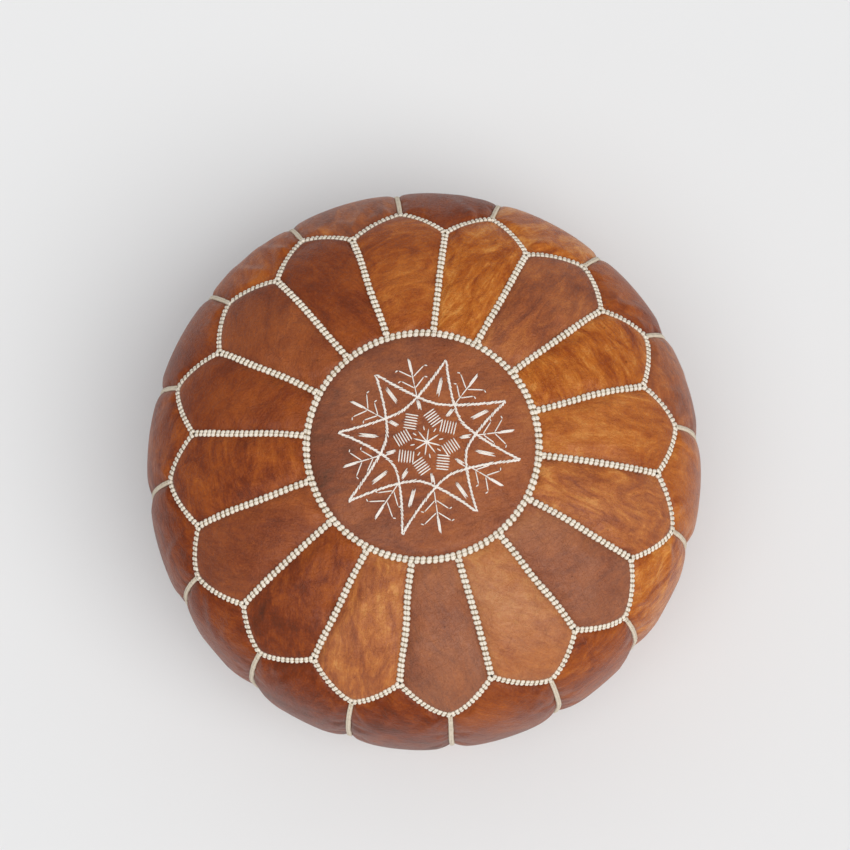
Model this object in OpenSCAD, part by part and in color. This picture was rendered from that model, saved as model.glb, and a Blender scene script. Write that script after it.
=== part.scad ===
// A round stuffed leather pouf: embroidered medallion, a ring of petals, side panels and
// a ring of bottom petals, all joined by braided seams, with a zip in the base and a
// stuffed insert inside. +Z is up and the origin is on the floor, under the middle.

/* [Body] */
// Diameter of the leather at its widest, without the braid
body_d = 542; // [450:1:650]
// Height from the floor to the crown of the medallion
body_h = 300; // [250:1:360]
// Height of the widest line above the floor
waist_z = 140; // [115:1:170]
// How far the underside would reach below the floor if it were not flat
floor_cut = 18; // [15:1:22]
// Squareness of the side profile, where 2 is an ellipse
squareness = 3; // [2.6:0.1:3.4]

/* [Leather] */
// Number of petals, of side panels and of bottom petals
panels = 16; // [14:1:16]
// Thickness of the leather
leather_t = 2; // [1.6:0.1:2.4]
// Diameter of the medallion, to the middle of its braid
medallion_d = 218; // [180:1:260]
// How far the petal tips lie in from the widest line, seen from above
tip_inset = 25; // [20:1:30]
// Length of a petal's point, from the zigzag's valley to its tip, seen from above
point_l = 24; // [18:1:30]
// Roundness of a petal's point, where 1 is two straight sides
point_round = 1.3; // [1:0.1:1.6]

/* [Base] */
// Width of the flat ring that the pouf stands on
stand_w = 18; // [15:1:22]
// Width of the slope from the flat ring up to the base panel
slope_w = 10; // [8:1:12]
// How far the base panel lies above the floor
base_z = 9; // [8.6:0.1:10.8]

/* [Braids] */
// Thickness of the braided seams
braid_t = 2; // [1.6:0.1:2.4]
// Width of the braid round the medallion
ring_braid_w = 7; // [5.8:0.1:8.4]
// Width of the braids between the petals
petal_braid_w = 6; // [5:0.1:7.2]
// Width of the zigzag braids, seen from above
zigzag_braid_w = 5; // [4:0.1:6]
// Width of the braids between the side panels
side_braid_w = 5.4; // [4.5:0.1:6.5]
// Gap between the end of one braid and the next
braid_gap = 0.4; // [0.3:0.1:0.6]

/* [Embroidery] */
// Leather left clear between the star's tips and the medallion's edge
star_margin = 23; // [19:1:27]
// Angle that the star is turned by
star_turn = 28; // [0:1:44]
// Width of an embroidered line
thread_w = 1.4; // [1.1:0.1:1.7]
// Height of the embroidery above the leather
thread_t = 0.8; // [0.6:0.1:1]

/* [Zip] */
// Width of the closed chain
chain_w = 7; // [5.8:0.1:8.4]
// Height of a tooth
tooth_h = 2.4; // [2:0.1:2.8]
// Distance from one tooth to the next
tooth_pitch = 4; // [3.3:0.1:4.8]
// Length of a tooth along the chain
tooth_l = 2.6; // [2.2:0.1:3.1]
// Width of one half of the tape
tape_w = 15; // [12.5:0.1:18]
// Thickness of the tape
tape_t = 0.8; // [0.6:0.1:1]
// Thickness of the slider's plates
plate_t = 1.3; // [1.1:0.1:1.5]
// Length of the slider
slider_l = 14; // [11.7:0.1:16.8]
// Length of the pull tab from its hinge
tab_l = 24; // [20:0.1:29]
// Thickness of the pull tab
tab_t = 1.4; // [1.2:0.1:1.6]
// Running clearance of the slider on the chain and the tape
zip_clear = 0.3; // [0.2:0.1:0.4]

/* [Insert] */
// Gap between the leather and the insert
insert_gap = 1.5; // [1:0.1:2]
// Thickness of the insert's cotton cover
calico_t = 1; // [0.8:0.1:1.2]

/* [Hidden] */
$fn = 120;
pitch = 360 / panels;
body_r = body_d / 2;
top_h = body_h - waist_z;
under_h = waist_z + floor_cut;
medallion_r = medallion_d / 2;
tip_r = body_r - tip_inset;
valley_r = tip_r - point_l;
outside_r = body_r / cos(pitch / 2) + 3 * braid_t + 4;
sector_margin = 3;
seam_gap_a = 0.05;

// The flat ring that the pouf stands on, and the raised base panel inside it
stand_r = outline_floor_r(0);
base_r = stand_r - stand_w;
base_flat_r = base_r - slope_w;

// Heights of the zip, from the tape down to the pull tab
tape_z = base_z + leather_t;
teeth_z = tape_z - tooth_h;
plate_z = teeth_z - zip_clear - plate_t;
tab_play = 0.5;
tab_z = plate_z - tab_play - tab_t / 2;
inner_plate_z = tape_z + tape_t + zip_clear;
slider_top_z = inner_plate_z + plate_t;

// The slider's arch, which holds the pull tab's bar
arch_w = 2.4;
arch_t = 1;
arch_post_l = 1.3;
arch_window_l = tab_t + 3.2;
arch_l = arch_window_l + 2 * arch_post_l;
arch_h = tab_play + tab_t + tab_play + arch_t;
tab_leg_w = 1.3;
tab_side_play = 0.4;
tab_w = arch_w + 2 * (tab_side_play + tab_leg_w);
tab_hole_l = norm([arch_l / 2, arch_h]) + tab_play;
web_t = 0.8;
centre_gap = web_t + 2 * zip_clear;
flange_t = 1.1;
slider_w = chain_w + 2 * (zip_clear + flange_t);
slot_play = 1;
slot_w = slider_w + 2 * slot_play;

// The zip runs along X, as far as the tab can lie flat at both ends
tab_margin = 3.5;
closed_x = base_flat_r - tab_l - tab_margin;
stop_l = 3;
chain_end_x = closed_x + slider_l / 2 + zip_clear;
tape_lap = 5;
tape_half_l = base_flat_r + tape_lap;
teeth_per_side = floor((2 * chain_end_x - tooth_l) / tooth_pitch) + 1;
teeth_half_l = (teeth_per_side - 1) * tooth_pitch / 2;

// The insert fills the leather, and rises over the zip
insert_inset = leather_t + insert_gap;
insert_floor_z = slider_top_z + insert_gap;

// Sizes of the star, as shares of its tip radius
star_r = medallion_r - star_margin;
star_waist = 0.435 * star_r;
star_cross = 0.52 * star_r;
star_points = 8;
star_pitch = 360 / star_points;
star_bow = 1.4;

function two(i) = i < 10 ? str("0", i) : str(i);
PANEL_NUMBERS = [for (i = [1:panels]) two(i)];
TOP_PETALS = [for (n = PANEL_NUMBERS) str("top_petal_", n)];
SIDE_PANELS = [for (n = PANEL_NUMBERS) str("side_panel_", n)];

// ---- The body's profile ----

// Steps from the crown to the waist, and from the waist to the floor
UPPER_STEPS = 12;
LOWER_STEPS = 8;

// Angle below the waist at which the profile reaches the floor, for a surface set in by inset
function floor_angle(inset) = asin(pow((waist_z - inset) / (under_h - inset), squareness / 2));
// A point of the profile at angle a above the waist
function outline_point(a, inset) =
    let (h = a < 0 ? inset - under_h : top_h - inset)
    [(body_r - inset) * pow(cos(a), 2 / squareness),
     waist_z + h * pow(abs(sin(a)), 2 / squareness)];
function outline_floor_r(inset) = outline_point(-floor_angle(inset), inset)[0];
function upper_outline(inset) = [for (i = [0:UPPER_STEPS]) outline_point(90 * (1 - i / UPPER_STEPS), inset)];
function lower_outline(inset) = [for (i = [0:LOWER_STEPS]) outline_point(-floor_angle(inset) * i / LOWER_STEPS, inset)];
function reversed(list) = [for (i = [len(list) - 1:-1:0]) list[i]];
function full_outline(inset) = concat(upper_outline(inset), [for (i = [1:LOWER_STEPS]) lower_outline(inset)[i]]);

module upper_section(outer, inner) {
    polygon(concat(upper_outline(outer), reversed(upper_outline(inner))));
}
module lower_section(outer, inner) {
    polygon(concat(lower_outline(outer), reversed(lower_outline(inner))));
}
// From the waist over the flat ring and up the slope to the base panel
module bottom_section() {
    polygon(concat(
        lower_outline(0), [[base_r, 0], [base_flat_r, base_z], [base_flat_r, tape_z], [base_r, leather_t]],
        reversed(lower_outline(leather_t))));
}
module side_section(outer, inner) {
    polygon(concat(full_outline(outer), reversed(full_outline(inner))));
}
// A turned section that covers span degrees on both sides of angle a
module sector(a, span) {
    rotate([0, 0, a - span]) rotate_extrude(angle = 2 * span) children();
}

// ---- Outlines seen from above ----

function polar(r, a) = [r * cos(a), r * sin(a)];
// Radius of the zigzag at u, which is 0 at a petal's tip and -1 or 1 at the valleys
function zigzag_r(u) = valley_r + point_l * (1 - pow(abs(u), point_round));
ZIGZAG_STEPS = 3;
// Points of the zigzag from u0 to u1 of the petal at angle a, moved out by out
function zigzag(a, u0, u1, steps, out = 0) =
    [for (i = [0:steps]) let (u = u0 + (u1 - u0) * i / steps) polar(zigzag_r(u) + out, a + u * pitch / 2)];
function zigzag_loop(out) =
    [for (k = [0:panels - 1]) for (p = zigzag(k * pitch, -1, 1 - 1 / ZIGZAG_STEPS, 2 * ZIGZAG_STEPS - 1, out)) p];

module tall(height = body_h + 20) {
    translate([0, 0, -10]) linear_extrude(height) children();
}
module petal_plan(a) {
    polygon(concat([[0, 0]], zigzag(a, -1, 1, 2 * ZIGZAG_STEPS)));
}
module side_plan(a) {
    polygon(concat(
        zigzag(a, 0, 1, ZIGZAG_STEPS),
        [for (i = [1:ZIGZAG_STEPS]) zigzag(a + pitch, -1, 0, ZIGZAG_STEPS)[i]],
        [polar(outside_r, a + pitch), polar(outside_r, a)]));
}
module strip_plan(a, from_r, to_r, width) {
    rotate(a) translate([from_r, -width / 2]) square([to_r - from_r, width]);
}
module zigzag_plan() {
    difference() {
        polygon(zigzag_loop(zigzag_braid_w / 2));
        polygon(zigzag_loop(-zigzag_braid_w / 2));
    }
}

// ---- Leather ----

module medallion() {
    color("saddlebrown")
    rotate_extrude()
    intersection() {
        upper_section(0, leather_t);
        square([medallion_r, body_h + 1]);
    }
}

module top_petal(k) {
    color(k % 3 == 0 ? "peru" : "sienna")
    intersection() {
        sector(k * pitch, pitch / 2 + sector_margin) upper_section(0, leather_t);
        tall() difference() {
            petal_plan(k * pitch);
            circle(medallion_r);
        }
    }
}

module side_panel(k) {
    color(k % 3 == 1 ? "peru" : "sienna")
    intersection() {
        sector((k + 0.5) * pitch, pitch / 2 + sector_margin) side_section(0, leather_t);
        tall() side_plan(k * pitch);
    }
}

module bottom_petals() {
    color("sienna")
    for (k = [0:panels - 1])
        intersection() {
            sector(k * pitch, pitch / 2 - seam_gap_a) bottom_section();
            tall() petal_plan(k * pitch);
        }
}

module base_panel(side) {
    color("sienna")
    intersection() {
        translate([0, 0, base_z]) cylinder(h = leather_t, r = base_flat_r);
        translate([-base_flat_r, side > 0 ? slot_w / 2 : -slot_w / 2 - base_flat_r, 0])
        cube([2 * base_flat_r, base_flat_r, 2 * tape_z]);
    }
}

// ---- Braids ----

module ring_braid() {
    color("ivory")
    rotate_extrude()
    intersection() {
        upper_section(-braid_t, 0);
        translate([medallion_r - ring_braid_w / 2, 0]) square([ring_braid_w, body_h + 2 * braid_t]);
    }
}

module petal_seam_braids() {
    color("ivory")
    for (k = [0:panels - 1])
        intersection() {
            sector((k + 0.5) * pitch, sector_margin) upper_section(-braid_t, 0);
            tall()
            strip_plan(
                (k + 0.5) * pitch, medallion_r + ring_braid_w / 2 + braid_gap,
                valley_r - zigzag_braid_w / 2 - braid_gap, petal_braid_w);
        }
}

module upper_zigzag_braid() {
    color("ivory")
    intersection() {
        rotate_extrude() upper_section(-braid_t, 0);
        tall() zigzag_plan();
    }
}

module side_seam_braids() {
    color("ivory")
    for (k = [0:panels - 1])
        intersection() {
            sector(k * pitch, sector_margin) side_section(-braid_t, 0);
            tall()
            strip_plan(k * pitch, tip_r + zigzag_braid_w / 2 + braid_gap, outside_r, side_braid_w);
        }
}

module lower_zigzag_braid() {
    color("ivory")
    intersection() {
        rotate_extrude() lower_section(-braid_t, 0);
        tall() zigzag_plan();
    }
}

// These stop short of the flat ring, so that the pouf stands on its leather
bottom_braid_lift = 8;
module bottom_seam_braids() {
    color("ivory")
    for (k = [0:panels - 1])
        intersection() {
            sector((k + 0.5) * pitch, sector_margin) lower_section(-braid_t, 0);
            tall()
            strip_plan(
                (k + 0.5) * pitch, stand_r + bottom_braid_lift,
                valley_r - zigzag_braid_w / 2 - braid_gap, petal_braid_w);
        }
}

// It lies on the slope, between the flat ring and the base panel
slope_turn = atan2(base_z, slope_w);
base_braid_margin = 2.5;
module base_ring_braid() {
    slope_l = norm([base_z, slope_w]);
    color("ivory")
    rotate_extrude()
    translate([base_r, 0]) rotate(180 - slope_turn)
    translate([base_braid_margin, 0])
    square([slope_l - 2 * base_braid_margin, braid_t / 2]);
}

// ---- Embroidery, lying on the medallion ----

module stitched() {
    color("white")
    intersection() {
        rotate_extrude()
        intersection() {
            upper_section(-thread_t, 0);
            square([medallion_r - ring_braid_w / 2 - braid_gap, 2 * body_h]);
        }
        translate([0, 0, body_h / 2]) linear_extrude(body_h) rotate(star_turn) children();
    }
}
// A straight stitch from p to q
module stitch(p, q, width = thread_w) {
    d = (q - p) / norm(q - p) * width / 2;
    side = [-d[1], d[0]];
    polygon([p + side, p - side, q - side, q + side]);
}
// A satin stitch along X that is thick in the middle
module spindle(from_r, to_r, width) {
    mid = (from_r + to_r) / 2;
    polygon([[from_r, 0], [mid, -width / 2], [to_r, 0], [mid, width / 2]]);
}

// One bowed side of the star, from tip to tip, seen as a strip across X
BOW_STEPS = 5;
tip_x = star_r * cos(star_pitch);
tip_y = star_r * sin(star_pitch);
function bow(v, out) = [star_waist + (tip_x - star_waist) * pow(abs(v), star_bow) + out, v * tip_y];
module star_side() {
    points = [for (i = [-BOW_STEPS:BOW_STEPS]) i / BOW_STEPS];
    polygon(concat(
        [for (v = points) bow(v, thread_w / 2)],
        [for (i = [2 * BOW_STEPS:-1:0]) bow(points[i], -thread_w / 2)]));
}
module embroidered_star() {
    stitched()
    for (i = [0:star_points - 1]) rotate(i * star_pitch) star_side();
}

// A sprig stands on each crossing of the star: a stem, two pairs of barbs and a thick tip
sprig_gap = 1.6 * thread_w;
barb_l = 0.14 * star_r;
module barbs(x, spread) {
    for (s = [-1, 1]) {
        stitch([x, 0], [x + barb_l / 2, s * spread]);
        stitch([x + barb_l / 2, s * spread], [x + barb_l / 2 - 2 * thread_w, s * (spread + thread_w)]);
    }
}
module sprig() {
    stitch([star_cross + sprig_gap, 0], [0.82 * star_r, 0]);
    barbs(0.66 * star_r, 0.13 * star_r);
    barbs(0.79 * star_r, 0.15 * star_r);
    spindle(0.82 * star_r, star_r, 2 * thread_w);
}
module embroidered_sprigs() {
    stitched()
    for (i = [0:star_points - 1]) rotate((i + 0.5) * star_pitch) sprig();
}

module embroidered_spindles() {
    stitched()
    for (i = [0:star_points - 1]) {
        rotate(i * star_pitch) spindle(0.56 * star_r, 0.75 * star_r, 1.6 * thread_w);
        rotate((i + 0.5) * star_pitch) spindle(0.36 * star_r, star_cross - sprig_gap, 1.6 * thread_w);
    }
}

// Small squares of parallel stitches, each with a corner towards the middle
square_r = 0.275 * star_r;
square_w = 0.15 * star_r;
SQUARE_LINES = 5;
module embroidered_squares() {
    line_pitch = square_w / (SQUARE_LINES - 1);
    stitched()
    for (i = [0:star_points - 1])
        rotate(i * star_pitch) translate([square_r, 0]) rotate(star_pitch)
        for (j = [0:SQUARE_LINES - 1])
            translate([0, (j - (SQUARE_LINES - 1) / 2) * line_pitch])
            square([square_w, line_pitch / 2], center = true);
}

module embroidered_rosette() {
    arm_r = square_r - square_w * 0.75 - thread_w / 2;
    stitched() {
        for (i = [0:star_points / 2 - 1])
            rotate(i * star_pitch) square([2 * arm_r, thread_w * 0.7], center = true);
        for (i = [0:star_points - 1])
            rotate((i + 0.5) * star_pitch) spindle(0.13 * star_r, 0.2 * star_r, thread_w);
    }
}

// ---- Zip ----

module zip_tape(side) {
    color("dimgray")
    translate([
        -tape_half_l, side > 0 ? centre_gap / 2 : -centre_gap / 2 - tape_w, tape_z])
    cube([2 * tape_half_l, tape_w, tape_t]);
}

module zip_teeth(side) {
    tooth_w = (chain_w - centre_gap) / 2;
    color("goldenrod")
    for (i = [0:teeth_per_side - 1])
        translate([
            i * tooth_pitch - teeth_half_l - tooth_l / 2,
            side > 0 ? centre_gap / 2 : -centre_gap / 2 - tooth_w, teeth_z])
        cube([tooth_l, tooth_w, tooth_h]);
}

// Two clips at the closed end, one on each half of the tape
module zip_top_stops() {
    clip_w = (chain_w - centre_gap) / 2;
    color("goldenrod")
    for (s = [-1, 1])
        translate([chain_end_x, s > 0 ? centre_gap / 2 : -centre_gap / 2 - clip_w, teeth_z])
        cube([stop_l, clip_w, tooth_h]);
}

// One clip across both halves at the open end
module zip_bottom_stop() {
    color("goldenrod")
    translate([-chain_end_x - stop_l, -chain_w / 2, teeth_z]) cube([stop_l, chain_w, tooth_h]);
}

module zip_slider() {
    color("darkgoldenrod")
    translate([closed_x, 0, 0]) {
        // Outer plate with its flanges
        translate([-slider_l / 2, -slider_w / 2, plate_z]) cube([slider_l, slider_w, plate_t]);
        for (s = [-1, 1])
            translate([
                -slider_l / 2, s > 0 ? slider_w / 2 - flange_t : -slider_w / 2, plate_z])
            cube([slider_l, flange_t, plate_t + tooth_h]);
        // Web between the two halves of the chain, and the inner plate on it
        translate([slider_l / 6, -web_t / 2, plate_z])
        cube([slider_l / 3, web_t, inner_plate_z - plate_z + plate_t]);
        translate([-slider_l / 2, -slider_w / 2, inner_plate_z]) cube([slider_l, slider_w, plate_t]);
        // Arch that holds the pull tab
        difference() {
            translate([-arch_l / 2, -arch_w / 2, plate_z - arch_h]) cube([arch_l, arch_w, arch_h + plate_t / 2]);
            translate([-arch_window_l / 2, -arch_w, plate_z - arch_h + arch_t])
            cube([arch_window_l, 2 * arch_w, arch_h - arch_t]);
        }
    }
}

module zip_pull_tab() {
    color("darkgoldenrod")
    translate([closed_x, 0, tab_z]) {
        // The round bar that turns in the slider's arch
        rotate([90, 0, 0]) cylinder(h = tab_w, r = tab_t / 2, center = true);
        for (s = [-1, 1])
            translate([-tab_hole_l - tab_leg_w, s > 0 ? tab_w / 2 - tab_leg_w : -tab_w / 2, -tab_t / 2])
            cube([tab_hole_l + tab_leg_w, tab_leg_w, tab_t]);
        translate([-tab_l + tab_w / 2, -tab_w / 2, -tab_t / 2])
        cube([tab_l - tab_w / 2 - tab_hole_l, tab_w, tab_t]);
        translate([-tab_l + tab_w / 2, 0, -tab_t / 2]) cylinder(h = tab_t, r = tab_w / 2);
    }
}

// ---- Insert ----

// Half of the insert's section, with its underside raised over the zip
module insert_section(inset, floor_z) {
    polygon(concat(
        full_outline(inset), [[base_r + slope_w / 2, inset], [base_r - slope_w / 2, floor_z], [0, floor_z]]));
}

module insert_cover() {
    inner = insert_inset + calico_t;
    color("linen")
    rotate_extrude()
    difference() {
        insert_section(insert_inset, insert_floor_z);
        insert_section(inner, insert_floor_z + calico_t);
    }
}

module insert_filling() {
    inner = insert_inset + calico_t;
    color("white")
    rotate_extrude() insert_section(inner, insert_floor_z + calico_t);
}

medallion();
for (i = [0:panels - 1]) {
    top_petal(i);
    side_panel(i);
}
bottom_petals();
base_panel(1);  // base_panel_left
base_panel(-1);  // base_panel_right
ring_braid();
petal_seam_braids();
upper_zigzag_braid();
side_seam_braids();
lower_zigzag_braid();
bottom_seam_braids();
base_ring_braid();
embroidered_star();
embroidered_sprigs();
embroidered_spindles();
embroidered_squares();
embroidered_rosette();
zip_tape(1);  // zip_tape_left
zip_tape(-1);  // zip_tape_right
zip_teeth(1);  // zip_teeth_left
zip_teeth(-1);  // zip_teeth_right
zip_top_stops();
zip_bottom_stop();
zip_slider();
zip_pull_tab();
insert_cover();
insert_filling();
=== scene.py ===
"""A round stuffed leather pouf: dyed hide panels, braided seams, an embroidered medallion and a zipped base.

All lengths are in metres. Places on the leather are given as (turn, run): the angle about Z, and the
distance along the side profile from the crown.
"""

from __future__ import annotations

import logging
import math
import random
from dataclasses import dataclass, field
from enum import Enum
from typing import Callable, Sequence

import bmesh
import bpy
import numpy as np
from mathutils import Matrix, Vector
from mathutils.bvhtree import BVHTree

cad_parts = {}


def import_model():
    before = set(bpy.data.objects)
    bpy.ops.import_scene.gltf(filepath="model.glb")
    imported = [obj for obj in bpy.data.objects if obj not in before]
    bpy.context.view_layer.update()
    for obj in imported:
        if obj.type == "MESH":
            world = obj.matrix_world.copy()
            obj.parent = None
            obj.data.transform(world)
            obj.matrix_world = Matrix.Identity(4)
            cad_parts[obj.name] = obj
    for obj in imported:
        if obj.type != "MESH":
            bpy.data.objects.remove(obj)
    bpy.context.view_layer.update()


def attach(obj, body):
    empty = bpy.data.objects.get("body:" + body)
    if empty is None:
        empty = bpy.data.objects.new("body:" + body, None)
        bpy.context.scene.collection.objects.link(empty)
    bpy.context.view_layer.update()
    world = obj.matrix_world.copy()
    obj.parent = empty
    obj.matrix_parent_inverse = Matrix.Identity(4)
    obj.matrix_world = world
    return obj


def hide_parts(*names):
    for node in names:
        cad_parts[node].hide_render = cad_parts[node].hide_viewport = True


LOG = logging.getLogger("pouf")
MM = 0.001

Colour = tuple[float, float, float]
Place = tuple[np.ndarray, np.ndarray]
Curve = Callable[[np.ndarray], Place]
Corner = tuple[float, float]


# ---- Shader expressions ----


class Value:
    """A node's output that reads like a number in an expression."""

    def __init__(self, tree: "FinishTree", socket: bpy.types.NodeSocket) -> None:
        """Keeps the tree that new nodes go into, and the socket that holds the value."""
        self.tree = tree
        self.socket = socket

    def _maths(self, operation: str, *values: "Value | float") -> "Value":
        """Returns a Math node's result."""
        return self.tree.node("ShaderNodeMath", {"operation": operation}, dict(enumerate(values)))

    def __add__(self, other: "Value | float") -> "Value":
        """Returns the sum."""
        return self._maths("ADD", self, other)

    __radd__ = __add__

    def __sub__(self, other: "Value | float") -> "Value":
        """Returns the difference."""
        return self._maths("SUBTRACT", self, other)

    def __rsub__(self, other: float) -> "Value":
        """Returns a plain number less this value."""
        return self._maths("SUBTRACT", other, self)

    def __mul__(self, other: "Value | float") -> "Value":
        """Returns the product."""
        return self._maths("MULTIPLY", self, other)

    __rmul__ = __mul__

    def __pow__(self, other: "Value | float") -> "Value":
        """Returns the power."""
        return self._maths("POWER", self, other)

    def __abs__(self) -> "Value":
        """Returns the size without the sign."""
        return self._maths("ABSOLUTE", self)

    def sine(self) -> "Value":
        """Returns the sine."""
        return self._maths("SINE", self)

    def step(self, low: float, high: float) -> "Value":
        """Returns a smooth step from 0 at low to 1 at high.

        Args:
            low: the value that gives 0.
            high: the value that gives 1.

        Returns:
            The stepped value, from 0 to 1.
        """
        settings = {"interpolation_type": "SMOOTHSTEP"}
        inputs = {"Value": self, "From Min": low, "From Max": high}
        return self.tree.node("ShaderNodeMapRange", settings, inputs)


class FinishTree:
    """The node tree of one finish, or of the sky."""

    def __init__(self, name: str, group: str = "materials") -> None:
        """Starts an empty tree called name, among the file's materials or worlds.

        Args:
            name: the finish's name.
            group: materials or worlds.
        """
        self.owner = getattr(bpy.data, group).new(name)
        self.owner.use_nodes = True
        self.nodes = self.owner.node_tree.nodes
        self.links = self.owner.node_tree.links
        self.nodes.clear()

    def node(
        self,
        kind: str,
        settings: dict[str, object] | None = None,
        inputs: dict[str | int, object] | None = None,
        output: str | int = 0,
    ) -> "Value | None":
        """Adds one node.

        Args:
            kind: the node's type.
            settings: its settings, set first; "stops" are a colour ramp's positions and colours.
            inputs: a value or a link for each named or numbered socket.
            output: the socket that is returned.

        Returns:
            The chosen output, or None where the node has none.
        """
        made = self.nodes.new(kind)
        for name, setting in (settings or {}).items():
            if name == "stops":
                self._set_stops(made.color_ramp, setting)
            else:
                setattr(made, name, setting)
        for name, value in (inputs or {}).items():
            if isinstance(value, Value):
                self.links.new(value.socket, made.inputs[name])
            elif isinstance(value, tuple) and made.inputs[name].type == "RGBA":
                made.inputs[name].default_value = (*value, 1.0)
            else:
                made.inputs[name].default_value = value
        return Value(self, made.outputs[output]) if made.outputs else None

    @staticmethod
    def _set_stops(ramp: bpy.types.ColorRamp, stops: Sequence[tuple[float, Colour]]) -> None:
        """Puts the stops on a colour ramp, which starts with two.

        Args:
            ramp: the ramp.
            stops: the positions, with their colours.
        """
        while len(ramp.elements) < len(stops):
            ramp.elements.new(0.5)
        for element, (position, colour) in zip(ramp.elements, stops):
            element.position = position
            element.color = (*colour, 1.0)

    def attribute(self, name: str, output: str = "Vector") -> Value:
        """Returns a mesh attribute."""
        return self.node("ShaderNodeAttribute", {"attribute_name": name}, output=output)

    def place(self) -> Value:
        """Returns the Object coordinates."""
        return self.node("ShaderNodeTexCoord", output="Object")

    def split(self, vector: Value) -> tuple[Value, Value, Value]:
        """Returns the three parts of a vector or colour."""
        made = self.node("ShaderNodeSeparateXYZ", inputs={0: vector}).socket.node
        return tuple(Value(self, socket) for socket in made.outputs)

    def stretched(self, vector: Value, scale: Colour) -> Value:
        """Returns the vector times the scale, part by part."""
        return self.node("ShaderNodeVectorMath", {"operation": "MULTIPLY"}, {0: vector, 1: scale})

    def noise(
        self, vector: Value, size: float, detail: float = 3, rough: float = 0.5, warp: float = 0
    ) -> Value:
        """Returns noise from 0 to 1.

        Args:
            vector: the coordinates, in metres.
            size: the size of its blotches, in metres.
            detail: the number of finer layers.
            rough: the strength of the finer layers.
            warp: how far the blotches are pulled about.

        Returns:
            The noise.
        """
        inputs = {"Vector": vector, "Scale": 1 / size, "Detail": detail, "Roughness": rough}
        return self.node("ShaderNodeTexNoise", inputs=inputs | {"Distortion": warp})

    def cells(self, vector: Value, size: float, feature: str = "F1") -> Value:
        """Returns the distance inside Voronoi cells of a size in metres.

        Args:
            vector: the coordinates.
            size: a cell's size.
            feature: the distance that is measured.

        Returns:
            The distance.
        """
        return self.node(
            "ShaderNodeTexVoronoi", {"feature": feature}, {"Vector": vector, "Scale": 1 / size}, "Distance"
        )

    def ramp(self, value: Value, stops: Sequence[tuple[float, Colour]]) -> Value:
        """Returns the colour at a value between the stops."""
        return self.node("ShaderNodeValToRGB", {"stops": stops}, {0: value})

    def mix(self, amount: Value | float, first: Value | Colour, second: Value | Colour) -> Value:
        """Mixes two colours.

        Args:
            amount: 0 for the first, 1 for the second.
            first: the colour below.
            second: the colour above.

        Returns:
            The mixed colour.
        """
        return self.node("ShaderNodeMix", {"data_type": "RGBA"}, {0: amount, 6: first, 7: second}, 2)

    def bump(self, height: Value, depth: float, strength: float = 1.0) -> Value:
        """Returns normals for a relief of the given depth in metres."""
        return self.node("ShaderNodeBump", inputs={"Strength": strength, "Distance": depth, "Height": height})

    def finish(self, inputs: dict[str, object]) -> bpy.types.Material:
        """Ends the tree in a Principled shader.

        Args:
            inputs: the shader's sockets by name.

        Returns:
            The material.
        """
        shader = self.node("ShaderNodeBsdfPrincipled", inputs=inputs)
        self.node("ShaderNodeOutputMaterial", inputs={"Surface": shader})
        return self.owner


# ---- Finishes ----


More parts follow.
